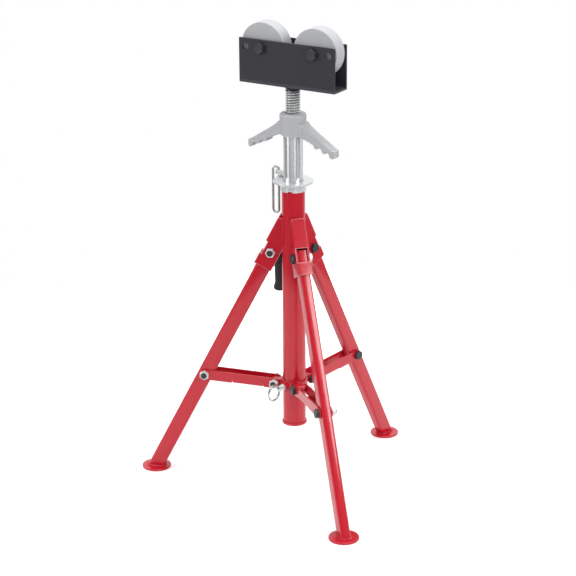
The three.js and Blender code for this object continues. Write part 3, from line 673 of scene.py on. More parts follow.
@made_once("bush_bronze")
def sintered_bronze(name):
    """Sintered bronze bush: brown, oil-filled and slightly porous."""
    coat(name, colours().bronze, tones=(0.8, 1.1), cloud=1.5, roughs=(0.35, 0.5), patch=2, grain=0.6,
         relief=0.03, Metallic=0.9)


@made_once("grip_rubber")
def moulded_rubber(name):
    """Moulded rubber: near black and matt, with a fine grain from the mould."""
    coat(name, colours().rubber, tones=(0.85, 1.05), cloud=6, roughs=(0.5, 0.7), patch=2, grain=0.8,
         relief=0.06, Specular_IOR_Level=0.3)


# Operators

class STAND_OT_main_tube(Operator):
    """Red main tube with the rolled ring at its foot"""
    bl_idname = "roller_stand.main_tube"
    bl_label = "Main tube"

    def execute(self, context):
        s = sizes()
        wall = hoop(s.tube_radius - s.tube_wall, s.tube_radius, tube_box.bottom, tube_box.top, s.edge)
        piece("main_tube_wall", [wall], mast_frame(), red_gloss_enamel(), "stand", "main_tube")
        foot = spans("tube_end_ring")
        hidden, under, over = 0.2, 1.4, 1.0
        rolled = hoop(s.tube_radius - s.edge, foot.half[0], foot.bottom, foot.top,
                      (hidden, under, over, hidden))
        piece("tube_foot_ring", [rolled], mast_frame(), red_gloss_enamel(), "stand", "tube_end_ring")
        return {"FINISHED"}


class STAND_OT_legs(Operator):
    """Rectangular leg tubes cut level at the foot, with their welded foot plates"""
    bl_idname = "roller_stand.legs"
    bl_label = "Legs and feet"

    def execute(self, context):
        s = sizes()
        outer = crowned(s.leg_depth, s.leg_width, s.leg_corner)
        inner = outer * (1 - 2 * s.leg_wall / np.array([s.leg_depth, s.leg_width]))
        top, lip_height, lip_share = 13, 0.5, 0.985

        def cut_level(outline):
            # height along the leg where each point of the section meets the foot plate's top
            above_foot = s.foot_height + SEAT_GAP - s.pivot_height - outline[:, 0] * sin(s.leg_slope)
            return raised(outline, above_foot / cos(s.leg_slope))

        tube = grid(np.array([
            cut_level(outer), raised(outer, top - lip_height), raised(outer * lip_share, top),
            raised(inner, top), cut_level(inner)]), loop=True)
        reach = leg_reach(s.foot_height)
        under_edge, top_edge = 0.4, 1.0
        plate = hoop(0, s.foot_radius, 0, s.foot_height, (0, under_edge, top_edge, 0))
        # the weld follows the level cut, a little outside it and off the plate
        outset, spacing, lift = 1.02, 0.75, 0.3
        weld_line = resampled(outer * np.array([1 / cos(s.leg_slope), 1]) * outset, spacing)
        weld = bead(raised(weld_line, s.foot_height + lift), s.bead, closed=True)
        for number in LEGS:
            body, red = f"leg_{number}", red_gloss_enamel()
            foot = mast_frame(leg_bearing(number)) @ shift(reach, 0, 0)
            piece(f"leg_{number}_tube", [tube], leg_frame(number), red, body, f"leg_tube_{number}")
            piece(f"leg_{number}_foot", [plate], foot, red, body, f"foot_plate_{number}")
            piece(f"leg_{number}_foot_weld", [weld], foot, red, body)
        return {"FINISHED"}


class STAND_OT_brackets(Operator):
    """U-section brackets on the tube, with the window over the leg's end and a strap below it"""
    bl_idname = "roller_stand.brackets"
    bl_label = "Leg brackets"

    def execute(self, context):
        s = sizes()
        outside, inside, past_leg = bracket_half(), s.leg_width / 2 + GAP, 3
        front, web = -s.leg_depth / 2 - past_leg, s.leg_depth / 2 + GAP
        back = web + s.bracket_sheet
        # the bracket ends where its web comes down to the tube
        web_reach = s.pivot_radius + web * cos(s.leg_slope) - s.tube_radius
        bottom, top = -35, (web_reach - GAP) / sin(s.leg_slope)
        section = rounded(
            [(front, -outside), (back, -outside), (back, outside), (front, outside),
             (front, inside), (web, inside), (web, -inside), (front, -inside)],
            (0, s.bracket_bend, s.bracket_bend, 0, 0, 0, 0, 0), steps=3)
        # cutting shapes: round corners at the top, the window through the web, and the tube that it stands on
        beyond, corner, spare = 60, 5, 0.1
        upper = box_outline(2 * top, 2 * (outside + spare), corner, steps=4)
        rounding = moved(prism(upper, -beyond, beyond), ALONG_X)
        window_depth, window_low, window_high, block = 4.3, -11, 16.5, 30
        window = prism(box_outline(block, beyond, 0), window_low, window_high)
        window = moved(window, shift(back + block / 2 - window_depth, 0, 0))
        sunk, tall = 0.3, 1000
        bite = rod(s.tube_radius - sunk, 0, tall, sides=128)

        # weld beads up both cheeks and over the web's top end, on the tube's surface
        side_bead, side_proud, side_start, side_stop = 1.5, 0.2, 27, 6
        top_bead, top_proud, top_lift, top_spread = 1.7, 0.4, 0.3, 0.36
        reach = sqrt(s.tube_radius ** 2 - outside ** 2)
        foot = s.pivot_height + (reach - s.pivot_radius) * tan(s.leg_slope)
        crown = s.pivot_height + web * sin(s.leg_slope) + top * cos(s.leg_slope)
        height = np.linspace(foot + side_start, crown - side_stop, 90)
        corners = [(reach + side_proud, side * (outside + side_proud)) for side in (-1, 1)]
        seams = [bead(raised(np.full((len(height), 2), corner), height), side_bead) for corner in corners]
        across = np.linspace(-top_spread, top_spread, 40)
        seams.append(bead(polar(s.tube_radius + top_proud, across, crown + top_lift), top_bead))
        for number in LEGS:
            place, red = leg_frame(number), red_gloss_enamel()
            item = solid(f"leg_{number}_bracket", [prism(section, bottom, top)], place)
            cut(item, [rounding], place, "INTERSECT")
            cut(item, [window], place)
            cut(item, [bite], mast_frame())
            # the bevels along the bracket's sharp edges get the pale painted highlight
            dress(item, red, "stand", f"leg_bracket_{number}", edge=0.8, edge_glint=red_gloss_enamel("thin"))
            piece(f"leg_{number}_bracket_weld", seams, mast_frame(leg_bearing(number)), red, "stand")
        return {"FINISHED"}


class STAND_OT_braces(Operator):
    """Twin-cheek braces folded from one sheet, with a short web along the underside"""
    bl_idname = "roller_stand.braces"
    bl_label = "Braces"

    def sheet(self):
        """The brace's outer skin: two stadium cheeks at y = +-outside and a web below that joins them
        through quarter bends. Each column has one place along the brace."""
        radius, outside, span = sizes().brace_depth / 2, brace_half(), brace_run()[1]
        bend, web_start, web_end, relief = 3.2, 22, 84, 1.2
        arc = np.linspace(0, pi / 2, 12)
        columns = np.concatenate([
            -radius * np.cos(arc), [web_start - relief, web_start, web_end, web_end + relief],
            span + radius * np.sin(arc)])
        before_web, after_web = slice(0, len(arc) + 1), slice(len(arc) + 3, None)
        beyond = np.maximum(np.maximum(-columns, columns - span), 0)
        half = np.sqrt(np.maximum(radius ** 2 - beyond ** 2, 0))
        seam = np.maximum(-radius + bend, -half)
        share = np.linspace(0, 1, 5)[:, None]
        upper = seam + share * (half - seam)
        lower = -half + share[[0, -1]] * (seam + half)
        shells = []
        for side in (-1, 1):
            for heights, chosen in ((upper, slice(None)), (lower, before_web), (lower, after_web)):
                x, z = np.broadcast_arrays(columns[chosen], heights[:, chosen])
                shells.append(grid(np.stack([x, np.full_like(z, side * outside), z], -1), ring=False))
        fold = np.linspace(0, pi / 2, 7)
        y = outside - bend + bend * np.cos(fold)
        z = bend - radius - bend * np.sin(fold)
        ends = np.array([web_start, web_end])[:, None]
        web = np.broadcast_arrays(ends, np.concatenate([y, -y[::-1]]), np.concatenate([z, z[::-1]]))
        return shells + [grid(np.stack(web, -1), ring=False)]

    def execute(self, context):
        for number in LEGS:
            # the sheet is faced outward in its own frame, before its place goes into the mesh
            item = solid(f"brace_{number}_sheet", self.sheet(), np.eye(4))
            reworked(item.data, face_away)
            place = brace_frame(number)
            place[:3, 3] *= MM
            item.data.transform(Matrix(place.tolist()))
            wall = item.modifiers.new("wall", "SOLIDIFY")
            wall.thickness = sizes().brace_sheet * MM
            wall.offset = -1
            red = red_gloss_enamel()
            dress(item, red, f"brace_{number}", f"brace_{number}", edge=0.45, edge_glint=red)
        return {"FINISHED"}


class STAND_OT_collar(Operator):
    """Sliding collar with its lug barrels, and the sprung lock plunger with a pull ring"""
    bl_idname = "roller_stand.collar"
    bl_label = "Collar and lock"

    def execute(self, context):
        s = sizes()
        clear, wall, half, rim_soft = 0.5, 3.2, 10, 0.9
        inner = s.tube_radius + clear
        outer = inner + wall
        level = mast_frame(0, s.collar_height)
        barrel_radius, barrel_half, soft = 8, 10.2, 1.2
        barrel = rod(barrel_radius, -barrel_half, barrel_half, soft)
        # the lug's block, its end rounded onto the barrel
        block_long, block_tall, block_soft, block_half, block_inset = 17, 14, 1.5, 7.5, 6.5
        block = prism(box_outline(block_long, block_tall, block_soft), -block_half, block_half)
        shells = [hoop(inner, outer, -half, half, rim_soft)]
        for number in LEGS:
            out = turn("Z", leg_bearing(number))
            shells.append(moved(barrel, out @ shift(s.lug_radius, 0, 0) @ ALONG_Y))
            shells.append(moved(block, out @ shift(s.lug_radius - block_inset, 0, 0) @ ALONG_Y))
        out = turn("Z", s.first_leg - pi / 3)
        boss_radius, boss_proud = 8, 7
        boss_end = outer + boss_proud
        shells.append(moved(rod(boss_radius, inner + wall / 2, boss_end, soft), out @ ALONG_X))
        piece("collar_body", shells, level, red_gloss_enamel(), "collar", "sliding_collar", edge=0.5)

        side = level @ out
        shaft, flange, flange_height, stem = 4, 6.5, 3, 9
        seat = boss_end + GAP
        flange_top = seat + flange_height
        eye = flange_top + stem
        end = eye - shaft
        knob = rounded(
            [(0, inner), (shaft, inner), (shaft, seat), (flange, seat), (flange, flange_top),
             (shaft, flange_top), (shaft, end), (0, end)], (0, 0.5, 0.2, 0.6, 0.6, 0.6, 0.4, 0))
        eye_hole, eye_rim, eye_half, eye_soft, droop = 3, 5.5, 2.5, 1.1, radians(15)
        loop = hoop(eye_hole, eye_rim, -eye_half, eye_half, eye_soft, sides=48)
        hung = shift(eye, 0, 0) @ turn("Y", droop)
        piece("lock_plunger_pin", [moved(turned(knob, sides=48), ALONG_X), moved(loop, hung)], side,
              bright_zinc("plate"), "plunger", "lock_plunger")
        # split ring: two turns of oval wire side by side, which cross from one to the other over a short gap
        mean, wire, oval, gap = 15.4, 1.2, (1.45, 1), 0.45
        angle = np.linspace(gap, 4 * pi - gap, 190)
        cross = np.clip((angle - 2 * pi) / gap, -1, 1)
        path = polar(mean, angle, wire * np.sin(cross * pi / 2))
        coil = carried(circle(wire, 14) * oval, path, polar(1, angle, 0), (0, 0, 1))
        piece("lock_ring_wire", [coil], side @ hung @ shift(mean, 0, 0) @ turn("X", pi / 2),
              bright_zinc("wire"), "pull_ring", "lock_pull_ring")
        return {"FINISHED"}


class STAND_OT_mast(Operator):
    """Zinc flange, drilled inner tube, thrust washer, and the height pin with its wire loop"""
    bl_idname = "roller_stand.mast"
    bl_label = "Mast and height pin"

    def flange(self):
        """Top-hat ring turned about the mast, its skirt lifted over a short arc for a slot."""
        s = sizes()
        bottom, top, rim = flange_box.bottom, flange_box.top, flange_box.half[0]
        plate, clear, skirt = 4, 0.5, 2.6
        under = top - plate
        throat, inner, outer = inner_box.half[0] + clear, s.tube_radius + GAP, s.tube_radius + skirt
        points, faces = turned(rounded(
            [(throat, under), (inner, under), (inner, bottom), (outer, bottom), (outer, under), (rim, under),
             (rim, top), (throat, top)], (0.3, 0.3, 0.6, 0.8, 1.6, 1.0, 1.0, 0.6)), sides=144)
        slot_bearing, slot_half, slot_height, skirt_edge = radians(-75), radians(10.5), 2.5, 1.5
        off = (np.arctan2(points[:, 1], points[:, 0]) - slot_bearing + pi) % (2 * pi) - pi
        lifted = (np.abs(off) < slot_half) & (points[:, 2] < bottom + skirt_edge)
        points[:, 2] += np.where(lifted, slot_height, 0)
        return points, faces

    def wire_loop(self, bend, straight, wire):
        """Wire along a line of two straight sides and two half circles, in the xz plane."""
        share = np.linspace(0, pi, 24)
        arc = polar(bend, share, 0)[:, :2] + (0, straight / 2)
        x, z = resampled(np.concatenate([arc, -arc]), spacing=1.2).T
        path = np.column_stack([x, 0 * x, z])
        side = np.cross(directions(path, closed=True), [0, 1, 0])
        return carried(circle(wire, 16), path, side, (0, 1, 0), loop=True)

    def execute(self, context):
        zinc = bright_zinc("plate")
        piece("flange_plate", [self.flange()], mast_frame(), zinc, "flange", "top_flange")

        radius, low, wall, lip = inner_box.half[0], inner_box.bottom, 3, 0.6
        bore = radius - wall
        tube = solid("mast_tube", [hoop(bore, radius, low, inner_box.top, lip)], mast_frame())
        # the pin lies on the flange, and its row of holes runs down from there to near the tube's foot
        pin_radius, pin_bearing, hole_spacing = 6, radians(162), 50
        pin_height = flange_box.top + GAP + pin_radius
        drill = rod(pin_radius + GAP, bore / 2, 2 * radius, sides=40)
        drill = moved(drill, turn("Z", pin_bearing) @ ALONG_X)
        heights = np.arange(pin_height, low + hole_spacing / 2, -hole_spacing)
        cut(tube, [moved(drill, shift(0, 0, height)) for height in heights], mast_frame())
        dress(tube, bright_zinc("tube"), "mast", "inner_tube")
        washer = hoop(screw_box.half[0] + GAP, washer_box.half[0], washer_box.bottom, washer_box.top,
                      radii=0.5)
        piece("mast_washer", [washer], mast_frame(), zinc, "mast", "thrust_washer")

        # the pin starts inside the tube, at the far wall, and its eye stands clear of the flange
        place = mast_frame(pin_bearing, pin_height)
        clear, chamfer, past_flange, past_eye, eye_radius, beyond = 0.5, 1.2, 3.2, 5, 2.7, 20
        start, eye = clear - sqrt(bore ** 2 - pin_radius ** 2), flange_box.half[0] + past_flange
        pin = solid("height_pin_bar", [rod(pin_radius, start, eye + past_eye, chamfer)], place @ ALONG_X)
        cut(pin, [rod(eye_radius, -beyond, beyond)], place @ shift(eye, 0, 0))
        dress(pin, zinc, "height_pin", "height_pin")
        bend, hang, swing = 6, 35, radians(30)
        loop = self.wire_loop(bend, straight=79.6, wire=2.4)
        piece("pin_loop_wire", [loop], place @ shift(eye, 0, -hang) @ turn("Z", swing) @ shift(bend, 0, 0),
              bright_zinc("wire"), "pin_loop", "pin_wire_loop")
        return {"FINISHED"}


class STAND_OT_clamp(Operator):
    """Clamp boss, bent screw lever and the dimpled rubber grip"""
    bl_idname = "roller_stand.clamp"
    bl_label = "Clamp lever"
    reach, drop = 84, 122

    def lever(self):
        """Round bar in the xz plane: screw end, quarter bend, hanging end. On the screw end the radius swings
        once a pitch, in step with the angle."""
        start, bend, radius, pitch, depth = 19.5, 14, 6, 1.75, 0.75
        out = np.linspace(start, self.reach - bend, 260)
        arc = np.linspace(0, pi / 2, 24)[1:]
        down = np.linspace(-bend, -self.drop, 8)[1:]
        x = np.concatenate([out, self.reach - bend + bend * np.sin(arc), np.full(len(down), self.reach)])
        z = np.concatenate([0 * out, -bend + bend * np.cos(arc), down])
        path = np.column_stack([x, 0 * x, z])
        up = np.cross(directions(path, closed=False), [0, 1, 0])
        threaded = np.arange(len(x)) < len(out)
        cover = np.clip((self.reach - bend - x) / (2 * pitch), 0, 1) * threaded
        swing = (1 - np.cos(2 * pi * x[:, None] / pitch - around(32))) / 2
        return carried(circle(1, 32), path, (0, 1, 0), up, radius - depth * cover[:, None] * swing)

    def grip(self):
        """Turned grip, its radius over height a smoothed line through a few corners, less dimples in
        staggered rows on its upper half. It ends in a sunk hole for the lever."""
        past_lever, up_lever = 4, 90
        low, high = -self.drop - past_lever, -self.drop + up_lever
        # height above the grip's end, and radius
        corners = np.array([(0, 11.5), (3, 13.5), (7, 13.5), (14, 10.5), (47, 11.5), (86, 12), (94, 10.2)])
        z = np.linspace(low, high, 170)
        weights = np.hanning(11)
        line = np.pad(np.interp(z - low, *corners.T), len(weights) // 2, "edge")
        smooth = np.convolve(line, weights / weights.sum(), "valid")
        angle = around(108)
        count, row, depth = 9, 12, 1.4
        first, last, fade = low + 40, high - 5, 4
        phase = 2 * pi * (z[:, None] - low) / row
        dimple = np.clip(np.cos(phase) * np.cos(count * angle), 0, 1)
        dimple = np.clip(dimple + np.clip(np.sin(phase) * np.sin(count * angle), 0, 1), 0, 1)
        zone = np.clip((z - first) / fade, 0, 1) * np.clip((last - z) / fade, 0, 1)
        skin = polar(smooth[:, None] - depth * zone[:, None] * dimple ** 1.5, angle, z[:, None])
        end, hole, hole_depth = 8, 6.2, 5
        hole_heights = np.array([[high], [high - hole_depth]])
        rows = [polar(end, angle, low)[None], skin, polar(hole, angle, hole_heights)]
        return grid(np.concatenate(rows), ends=(True, True))

    def execute(self, context):
        s = sizes()
        above_pivot = 21
        place = mast_frame(s.first_leg + pi, s.pivot_height + above_pivot)
        boss = new_object("clamp_screw_boss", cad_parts["clamp_boss"].data.copy())
        reworked(boss.data, merge)
        dress(boss, red_gloss_enamel(), "stand", "clamp_boss", edge=0.4)
        piece("clamp_screw_lever", [self.lever()], place, bright_zinc("plate"), "clamp", "clamp_lever")
        piece("clamp_rubber_grip", [self.grip()], place @ shift(self.reach, 0, 0), moulded_rubber(), "clamp",
              "clamp_grip", sharp=50)
        return {"FINISHED"}


class STAND_OT_wing_nut(Operator):
    """Cast wing nut: hub, and two drooping arms with finger bumps below"""
    bl_idname = "roller_stand.wing_nut"
    bl_label = "Wing nut"
    radius = 25.5

    def arm(self):
        """One arm along x: a rounded section whose top and bottom lines, width and bumps follow the
        distance from the axis, with the section a superellipse between them."""
        start, reach, tip = 12, 97, 6
        end = reach - tip
        last = end + tip * np.sin(np.linspace(0, pi / 2, 14))[1:]
        x = np.concatenate([np.linspace(start, end, 150), last])
        # the arm's lines as distances from the axis and values there, a swell at its root and a round close
        topside, underside = ([self.radius, end], [22, -19]), ([self.radius - 5, end], [0, -29])
        width_line, swell, fade = ([0, end], [15, 10.5]), (3, 2.5), 5
        root = np.exp(-np.maximum(x - self.radius, 0) / fade)
        close = tip - np.sqrt(np.maximum(tip ** 2 - np.maximum(x - end, 0) ** 2, 0))
        top = np.interp(x, *topside) + swell[0] * root - close
        under = np.interp(x, *underside)
        for centre, bump in ((end - 34, 5), (end - 17, 5), (end, tip)):
            dip = np.sqrt(np.maximum(bump ** 2 - (x - centre) ** 2, 0))
            under = np.where(dip > 0, np.minimum(under, np.interp(centre, *underside) - dip), under)
        under = np.where(x > end, underside[1][1] - tip + close, under)
        half_width = np.interp(x, *width_line) + swell[1] * root - close
        angle, power = around(72), 2 / 12
        across, height = (np.sign(wave) * np.abs(wave) ** power for wave in (np.cos(angle), np.sin(angle)))
        middle, half, half_width, x = (
            values[:, None] for values in ((top + under) / 2, (top - under) / 2, half_width, x))
        points = np.stack([x + 0 * angle, half_width * across, middle + half * height], -1)
        return grid(points, ends=(True, True))

    def execute(self, context):
        place = mast_frame(0, washer_box.top + GAP)
        bore, high, grey = screw_box.half[0] + GAP, 42, grey_casting()
        inside_hub, beyond = 3, 60
        for name, bearing in (("wing_nut_casting", 0), ("wing_nut_arm", pi)):
            item = solid(name, [self.arm()], place @ turn("Z", bearing))
            cut(item, [rod(bore + inside_hub, -beyond, beyond, sides=96)], place)
            dress(item, grey, "wing_nut", sharp=50)
        hub = hoop(bore, self.radius, 0, high, (0.8, 2.5, 5, 1.2), steps=8)
        piece("wing_nut_hub", [hub], place, grey, "wing_nut", "wing_nut", sharp=50)
        return {"FINISHED"}


class STAND_OT_head(Operator):
    """Lift screw and the folded roller channel"""
    bl_idname = "roller_stand.head"
    bl_label = "Lift screw and channel"

    def execute(self, context):
        s = sizes()
        radius = screw_box.half[0]
        screw = thread_rod(radius, s.thread_depth, s.thread_pitch, screw_box.bottom, screw_box.top + GAP)
        piece("lift_screw_thread", [screw], mast_frame(), rolled_screw_steel(), "head", "lift_screw",
              sharp=60)

        bottom, top = channel_box.bottom, channel_box.top
        reach, outside = channel_box.half[:2]
        inside, floor = outside - s.channel_sheet, bottom + s.channel_sheet
        bend, tight = s.channel_bend, 1
        section = rounded(
            [(-outside, top), (-outside, bottom), (outside, bottom), (outside, top),
             (inside, top), (inside, floor), (-inside, floor), (-inside, top)],
            (0, bend, bend, 0, 0, tight, tight, 0), steps=8)
        sheet = carried(section, [(-reach, 0, 0), (reach, 0, 0)], (0, 1, 0), (0, 0, 1))
        item = solid("channel_sheet", [sheet], mast_frame())
        # spare axle holes near both ends
        hole_radius, from_end, beyond = 6.5, 14.5, 60
        spare = reach - from_end
        hole = moved(rod(hole_radius, -beyond, beyond, sides=40), ALONG_Y)
        cut(item, [moved(hole, shift(x, 0, 0)) for x in (-spare, spare)], mast_frame(0, wheel_box.middle[2]))
        black = satin_black_paint()
        dress(item, black, "head", "roller_channel", edge=0.7)
        weld_radius, sunk, drop = 2.2, 0.6, 0.4
        weld = bead(polar(radius - sunk, around(130), bottom - drop), weld_radius, closed=True)
        piece("channel_screw_weld", [weld], mast_frame(), black, "head")
        return {"FINISHED"}


class STAND_OT_wheels(Operator):
    """Rollers with their bushes and spacers"""
    bl_idname = "roller_stand.wheels"
    bl_label = "Wheels"

    def execute(self, context):
        s = sizes()
        radius, half = wheel_box.half[2], wheel_box.half[1]
        bore, bush_radius, axle_bore, spacer_radius, spacer_width = 9.6, 9.3, 6.3, 10.3, 4
        bore_edge, rim_edge, bush_edge, spacer_edge = 0.6, s.wheel_edge, 0.4, 0.5
        near, far = half + GAP, half + GAP + spacer_width
        disc = hoop(bore, radius, -half, half, (bore_edge, rim_edge, rim_edge, bore_edge), sides=144)
        bush = hoop(axle_bore, bush_radius, -half, half, bush_edge, sides=48)
        for number, side in WHEEL_SIDES.items():
            place, body = axle_frame(side), f"wheel_{number}"
            piece(f"wheel_{number}_disc", [disc], place, satin_grey_wheel(), body, f"wheel_{number}")
            piece(f"wheel_{number}_bush", [bush], place, sintered_bronze(), body, f"wheel_bush_{number}")
            for word, low, high in (("front", -far, -near), ("back", near, far)):
                spacer = hoop(axle_bore, spacer_radius, low, high, spacer_edge, sides=48)
                piece(f"wheel_{number}_spacer_{word}", [spacer], place, bright_zinc("plate"), "head",
                      f"wheel_spacer_{word}_{number}")
        return {"FINISHED"}


class STAND_OT_fasteners(Operator):
    """Hexagon bolts and lock nuts of the tripod and the axles"""
    bl_idname = "roller_stand.fasteners"
    bl_label = "Bolts and nuts"
    edge, chamfer, bore_gap, past_nut = 0.25, 0.9, 0.15, 1.6

    def bolt(self, name, place, outside, width, head, diameter, stop, body, node):
        """Head below the seat at -outside, shank up to stop."""
        seat = outside + SEAT_GAP
        top = moved(hex_head(width, head, dish=0.25), shift(0, 0, -seat) @ turn("X", pi))
        shank = rod(diameter / 2, -seat - head / 2, stop, self.chamfer)
        piece(name, [top, shank], place, black_oxide_steel(), body, node, edge=self.edge)

    def execute(self, context):
        s = sizes()
        head, nut_height = 6.4, 8
        nut = hex_head(s.hexagon, nut_height, bore=s.bolt / 2 + self.bore_gap, collar=1.9)
        # the bolt in the leg end of a brace is a stub in each cheek, so that the leg turns clear of it
        stub_end = s.leg_width / 2 + GAP
        for number in LEGS:
            brace, lug = f"brace_{number}", brace_frame(number)
            for word, place, outside, body in (
                    ("leg_pivot", leg_frame(number), bracket_half(), "stand"),
                    ("brace_collar", lug, brace_half(), brace),
                    ("brace_leg", lug @ shift(brace_run()[1], 0, 0), brace_half(), brace)):
                place = place @ ALONG_Y
                stop = outside + GAP + nut_height + self.past_nut
                stubs = word == "brace_leg"
                self.bolt(f"{word}_bolt_{number}_hex", place, outside, s.hexagon, head, s.bolt,
                          -stub_end if stubs else stop, body, f"{word}_bolt_{number}")
                piece(f"{word}_nut_{number}_hex", [nut], place @ shift(0, 0, outside + SEAT_GAP),
                      bright_zinc("plate"), body, f"{word}_nut_{number}", edge=self.edge)
                if stubs:
                    stub = rod(s.bolt / 2, stub_end, stop, self.chamfer)
                    piece(f"{word}_bolt_{number}_end", [stub], place, black_oxide_steel(), body)
        outside, head, nut_height = channel_box.half[1], 7.5, 10
        nut = hex_head(s.axle_hexagon, nut_height, bore=s.axle / 2 + self.bore_gap)
        stop = outside + GAP + nut_height + self.past_nut
        for number, side in WHEEL_SIDES.items():
            place = axle_frame(side)
            self.bolt(f"axle_{number}_bolt_hex", place, outside, s.axle_hexagon, head, s.axle, stop, "head",
                      f"axle_bolt_{number}")
            piece(f"axle_{number}_nut_hex", [nut], place @ shift(0, 0, outside + SEAT_GAP),
                  black_oxide_steel(), "head", f"axle_nut_{number}", edge=self.edge)
        return {"FINISHED"}


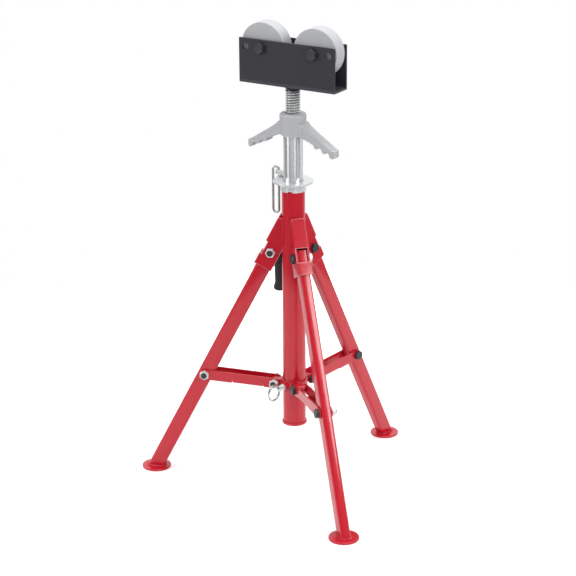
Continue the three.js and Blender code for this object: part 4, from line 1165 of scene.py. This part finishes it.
class STAND_OT_stage(Operator):
    """White studio floor, soft lights and the camera"""
    bl_idname = "roller_stand.stage"
    bl_label = "Stage"
    facing, lit_height = radians(-58.41), 0.45

    def axes(self, bearing, rise):
        """Right, up and back of a lamp or camera that looks at the mast from a bearing and a rise."""
        back = np.array([cos(rise) * cos(bearing), cos(rise) * sin(bearing), sin(rise)])
        right = np.array([-sin(bearing), cos(bearing), 0])
        return right, np.cross(back, right), back

    def put(self, name, data, right, up, back, spot):
        """New object at a spot, turned to its three axes."""
        item = new_object(name, data)
        columns = np.column_stack([right, up, back, spot])
        item.matrix_world = Matrix(np.vstack([columns, [0, 0, 0, 1]]).tolist())
        return item

    def light(self, name, bearing, rise, distance, size, power):
        """Soft box aimed at the stand: bearing from the camera's and rise in degrees, distance and size in
        metres, power in watts."""
        data = bpy.data.lights.new(name, "AREA")
        data.shape = "RECTANGLE"
        data.size, data.size_y = size
        data.energy = power
        axes = self.axes(self.facing + radians(bearing), radians(rise))
        aim = np.array([*tube_box.middle[:2] * MM, self.lit_height])
        self.put(name, data, *axes, aim + distance * axes[2]).visible_camera = False

    def floor(self):
        """Small round floor just below the feet, a ring of faces around one in the middle."""
        inner, outer, below = 400, 1250, 0.2
        points = polar(np.array([[inner], [outer]]), around(96), -below)
        item = solid("studio_floor", [grid(points, ends=(True, False))], np.eye(4))
        material = bpy.data.materials.new("matt_floor")
        tree = bare_tree(material)
        # the camera sees the floor lifted to white, the more the further out, and its shadows stay
        near, far = 500 * MM, 1100 * MM
        near_lift, far_lift, mirrored = 0.2, 1.0, 0.16
        ray = add(tree, "LightPath").outputs
        where = add(tree, "TexCoord").outputs["Object"]
        reach = add(tree, "VectorMath", {"operation": "LENGTH"}, _0=where).outputs["Value"]
        lift = add(tree, "MapRange", _0=reach, _1=near, _2=far, _3=near_lift, _4=far_lift).outputs[0]
        seen = add(tree, "Math", {"operation": "MULTIPLY"}, _0=lift, _1=ray["Is Camera Ray"]).outputs[0]
        both = add(tree, "Math", {"operation": "MULTIPLY_ADD"}, _0=ray["Is Glossy Ray"], _1=mirrored, _2=seen)
        shader = add(tree, "BsdfPrincipled", Base_Color=(*colours().floor, 1), Roughness=1.0,
                     Specular_IOR_Level=0.0, Emission_Color=(1, 1, 1, 1), Emission_Strength=both.outputs[0])
        add(tree, "OutputMaterial", Surface=shader.outputs[0])
        item.data.materials.append(material)

    def air(self):
        """World that is white to the camera, and to metal that faces the backdrop."""
        world = bpy.data.worlds.new("studio_air")
        tree = bare_tree(world)
        ray = add(tree, "LightPath").outputs
        where = add(tree, "TexCoord").outputs["Object"]
        ahead = add(tree, "VectorMath", {"operation": "DOT_PRODUCT"}, _0=where,
                    _1=(-cos(self.facing), -sin(self.facing), 0)).outputs["Value"]
        aside, straight, dim, white, fill = 0.25, 0.85, 0.15, 1.0, 0.27
        behind = add(tree, "MapRange", _0=ahead, _1=aside, _2=straight, _3=dim, _4=white).outputs[0]
        strength = add(tree, "Mix", _0=ray["Is Glossy Ray"], _2=fill, _3=behind).outputs[0]
        for kind in ("Is Camera Ray", "Is Transmission Ray"):
            strength = add(tree, "Math", {"operation": "MAXIMUM"}, _0=strength, _1=ray[kind]).outputs[0]
        glow = add(tree, "Background", Color=(1, 1, 1, 1), Strength=strength)
        add(tree, "OutputWorld", Surface=glow.outputs[0])
        return world

    def camera(self):
        """Camera matched to the photograph: rise, distance, a small roll and a lens in its pixels."""
        rise, distance, roll = radians(19.65), 3.797, radians(-0.37)
        aim_height, aim_left, lens_pixels, image_pixels, sensor = 0.404, 0.0114, 1950.45, 576, 36
        right, up, back = self.axes(self.facing, rise)
        aim = np.array([*tube_box.middle[:2] * MM, aim_height]) - aim_left * right
        across = right * cos(roll) + up * sin(roll)
        upward = up * cos(roll) - right * sin(roll)
        data = bpy.data.cameras.new("photo_camera")
        data.sensor_width = sensor
        data.lens = lens_pixels / image_pixels * sensor
        data.clip_end = 60
        return self.put("photo_camera", data, across, upward, back, aim + distance * back)

    def execute(self, context):
        scene = context.scene
        scene.view_settings.view_transform = "Standard"
        self.floor()
        scene.world = self.air()
        self.light("top_box", 160, 80, 2.4, (1.8, 1.8), 54)
        self.light("left_box", -75, 25, 2.6, (1.4, 1.6), 31)
        self.light("right_box", 54, 25.5, 2.8, (1.4, 0.68), 34)
        self.light("front_box", 10, 52, 2.7, (1.2, 0.8), 13)
        # low cards that only the plated mast mirrors, as upright bands
        low, tall = -7, 0.52
        self.light("front_card", -4, low, 2.7, (3.4, tall), 3.6)
        self.light("left_card", -62, low, 2.6, (0.9, tall), 3.2)
        self.light("middle_card", 21, low, 2.5, (0.28, tall), 1.3)
        self.light("side_card", 56, low, 2.6, (1.3, tall), 1.6)
        self.light("right_card", 100, low, 2.6, (1.7, tall), 3.0)
        scene.camera = self.camera()
        return {"FINISHED"}


OPERATORS = (
    STAND_OT_stage, STAND_OT_main_tube, STAND_OT_legs, STAND_OT_brackets, STAND_OT_braces, STAND_OT_collar,
    STAND_OT_mast, STAND_OT_clamp, STAND_OT_wing_nut, STAND_OT_head, STAND_OT_wheels, STAND_OT_fasteners)


class STAND_PT_pieces(Panel):
    """Pieces and finishes of the roller stand"""
    bl_idname = "STAND_PT_pieces"
    bl_label = "Roller stand"
    bl_space_type = "VIEW_3D"
    bl_region_type = "UI"
    bl_category = "Roller stand"

    def draw(self, context):
        layout = self.layout
        for group in (context.scene.stand_sizes, context.scene.stand_colours):
            for name in type(group).__annotations__:
                layout.prop(group, name)
        for operator in OPERATORS:
            layout.operator(operator.bl_idname)


CLASSES = (StandSizes, StandColours, *OPERATORS, STAND_PT_pieces)


def register():
    for item in CLASSES:
        bpy.utils.register_class(item)
    bpy.types.Scene.stand_sizes = PointerProperty(type=StandSizes)
    bpy.types.Scene.stand_colours = PointerProperty(type=StandColours)


def unregister():
    del bpy.types.Scene.stand_colours
    del bpy.types.Scene.stand_sizes
    for item in reversed(CLASSES):
        bpy.utils.unregister_class(item)


def main():
    """Registers the classes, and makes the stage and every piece."""
    register()
    for operator in OPERATORS:
        group, name = operator.bl_idname.split(".")
        if getattr(getattr(bpy.ops, group), name)() != {"FINISHED"}:
            raise RuntimeError(operator.bl_label + " was not made")


if __name__ == "__main__":
    main()
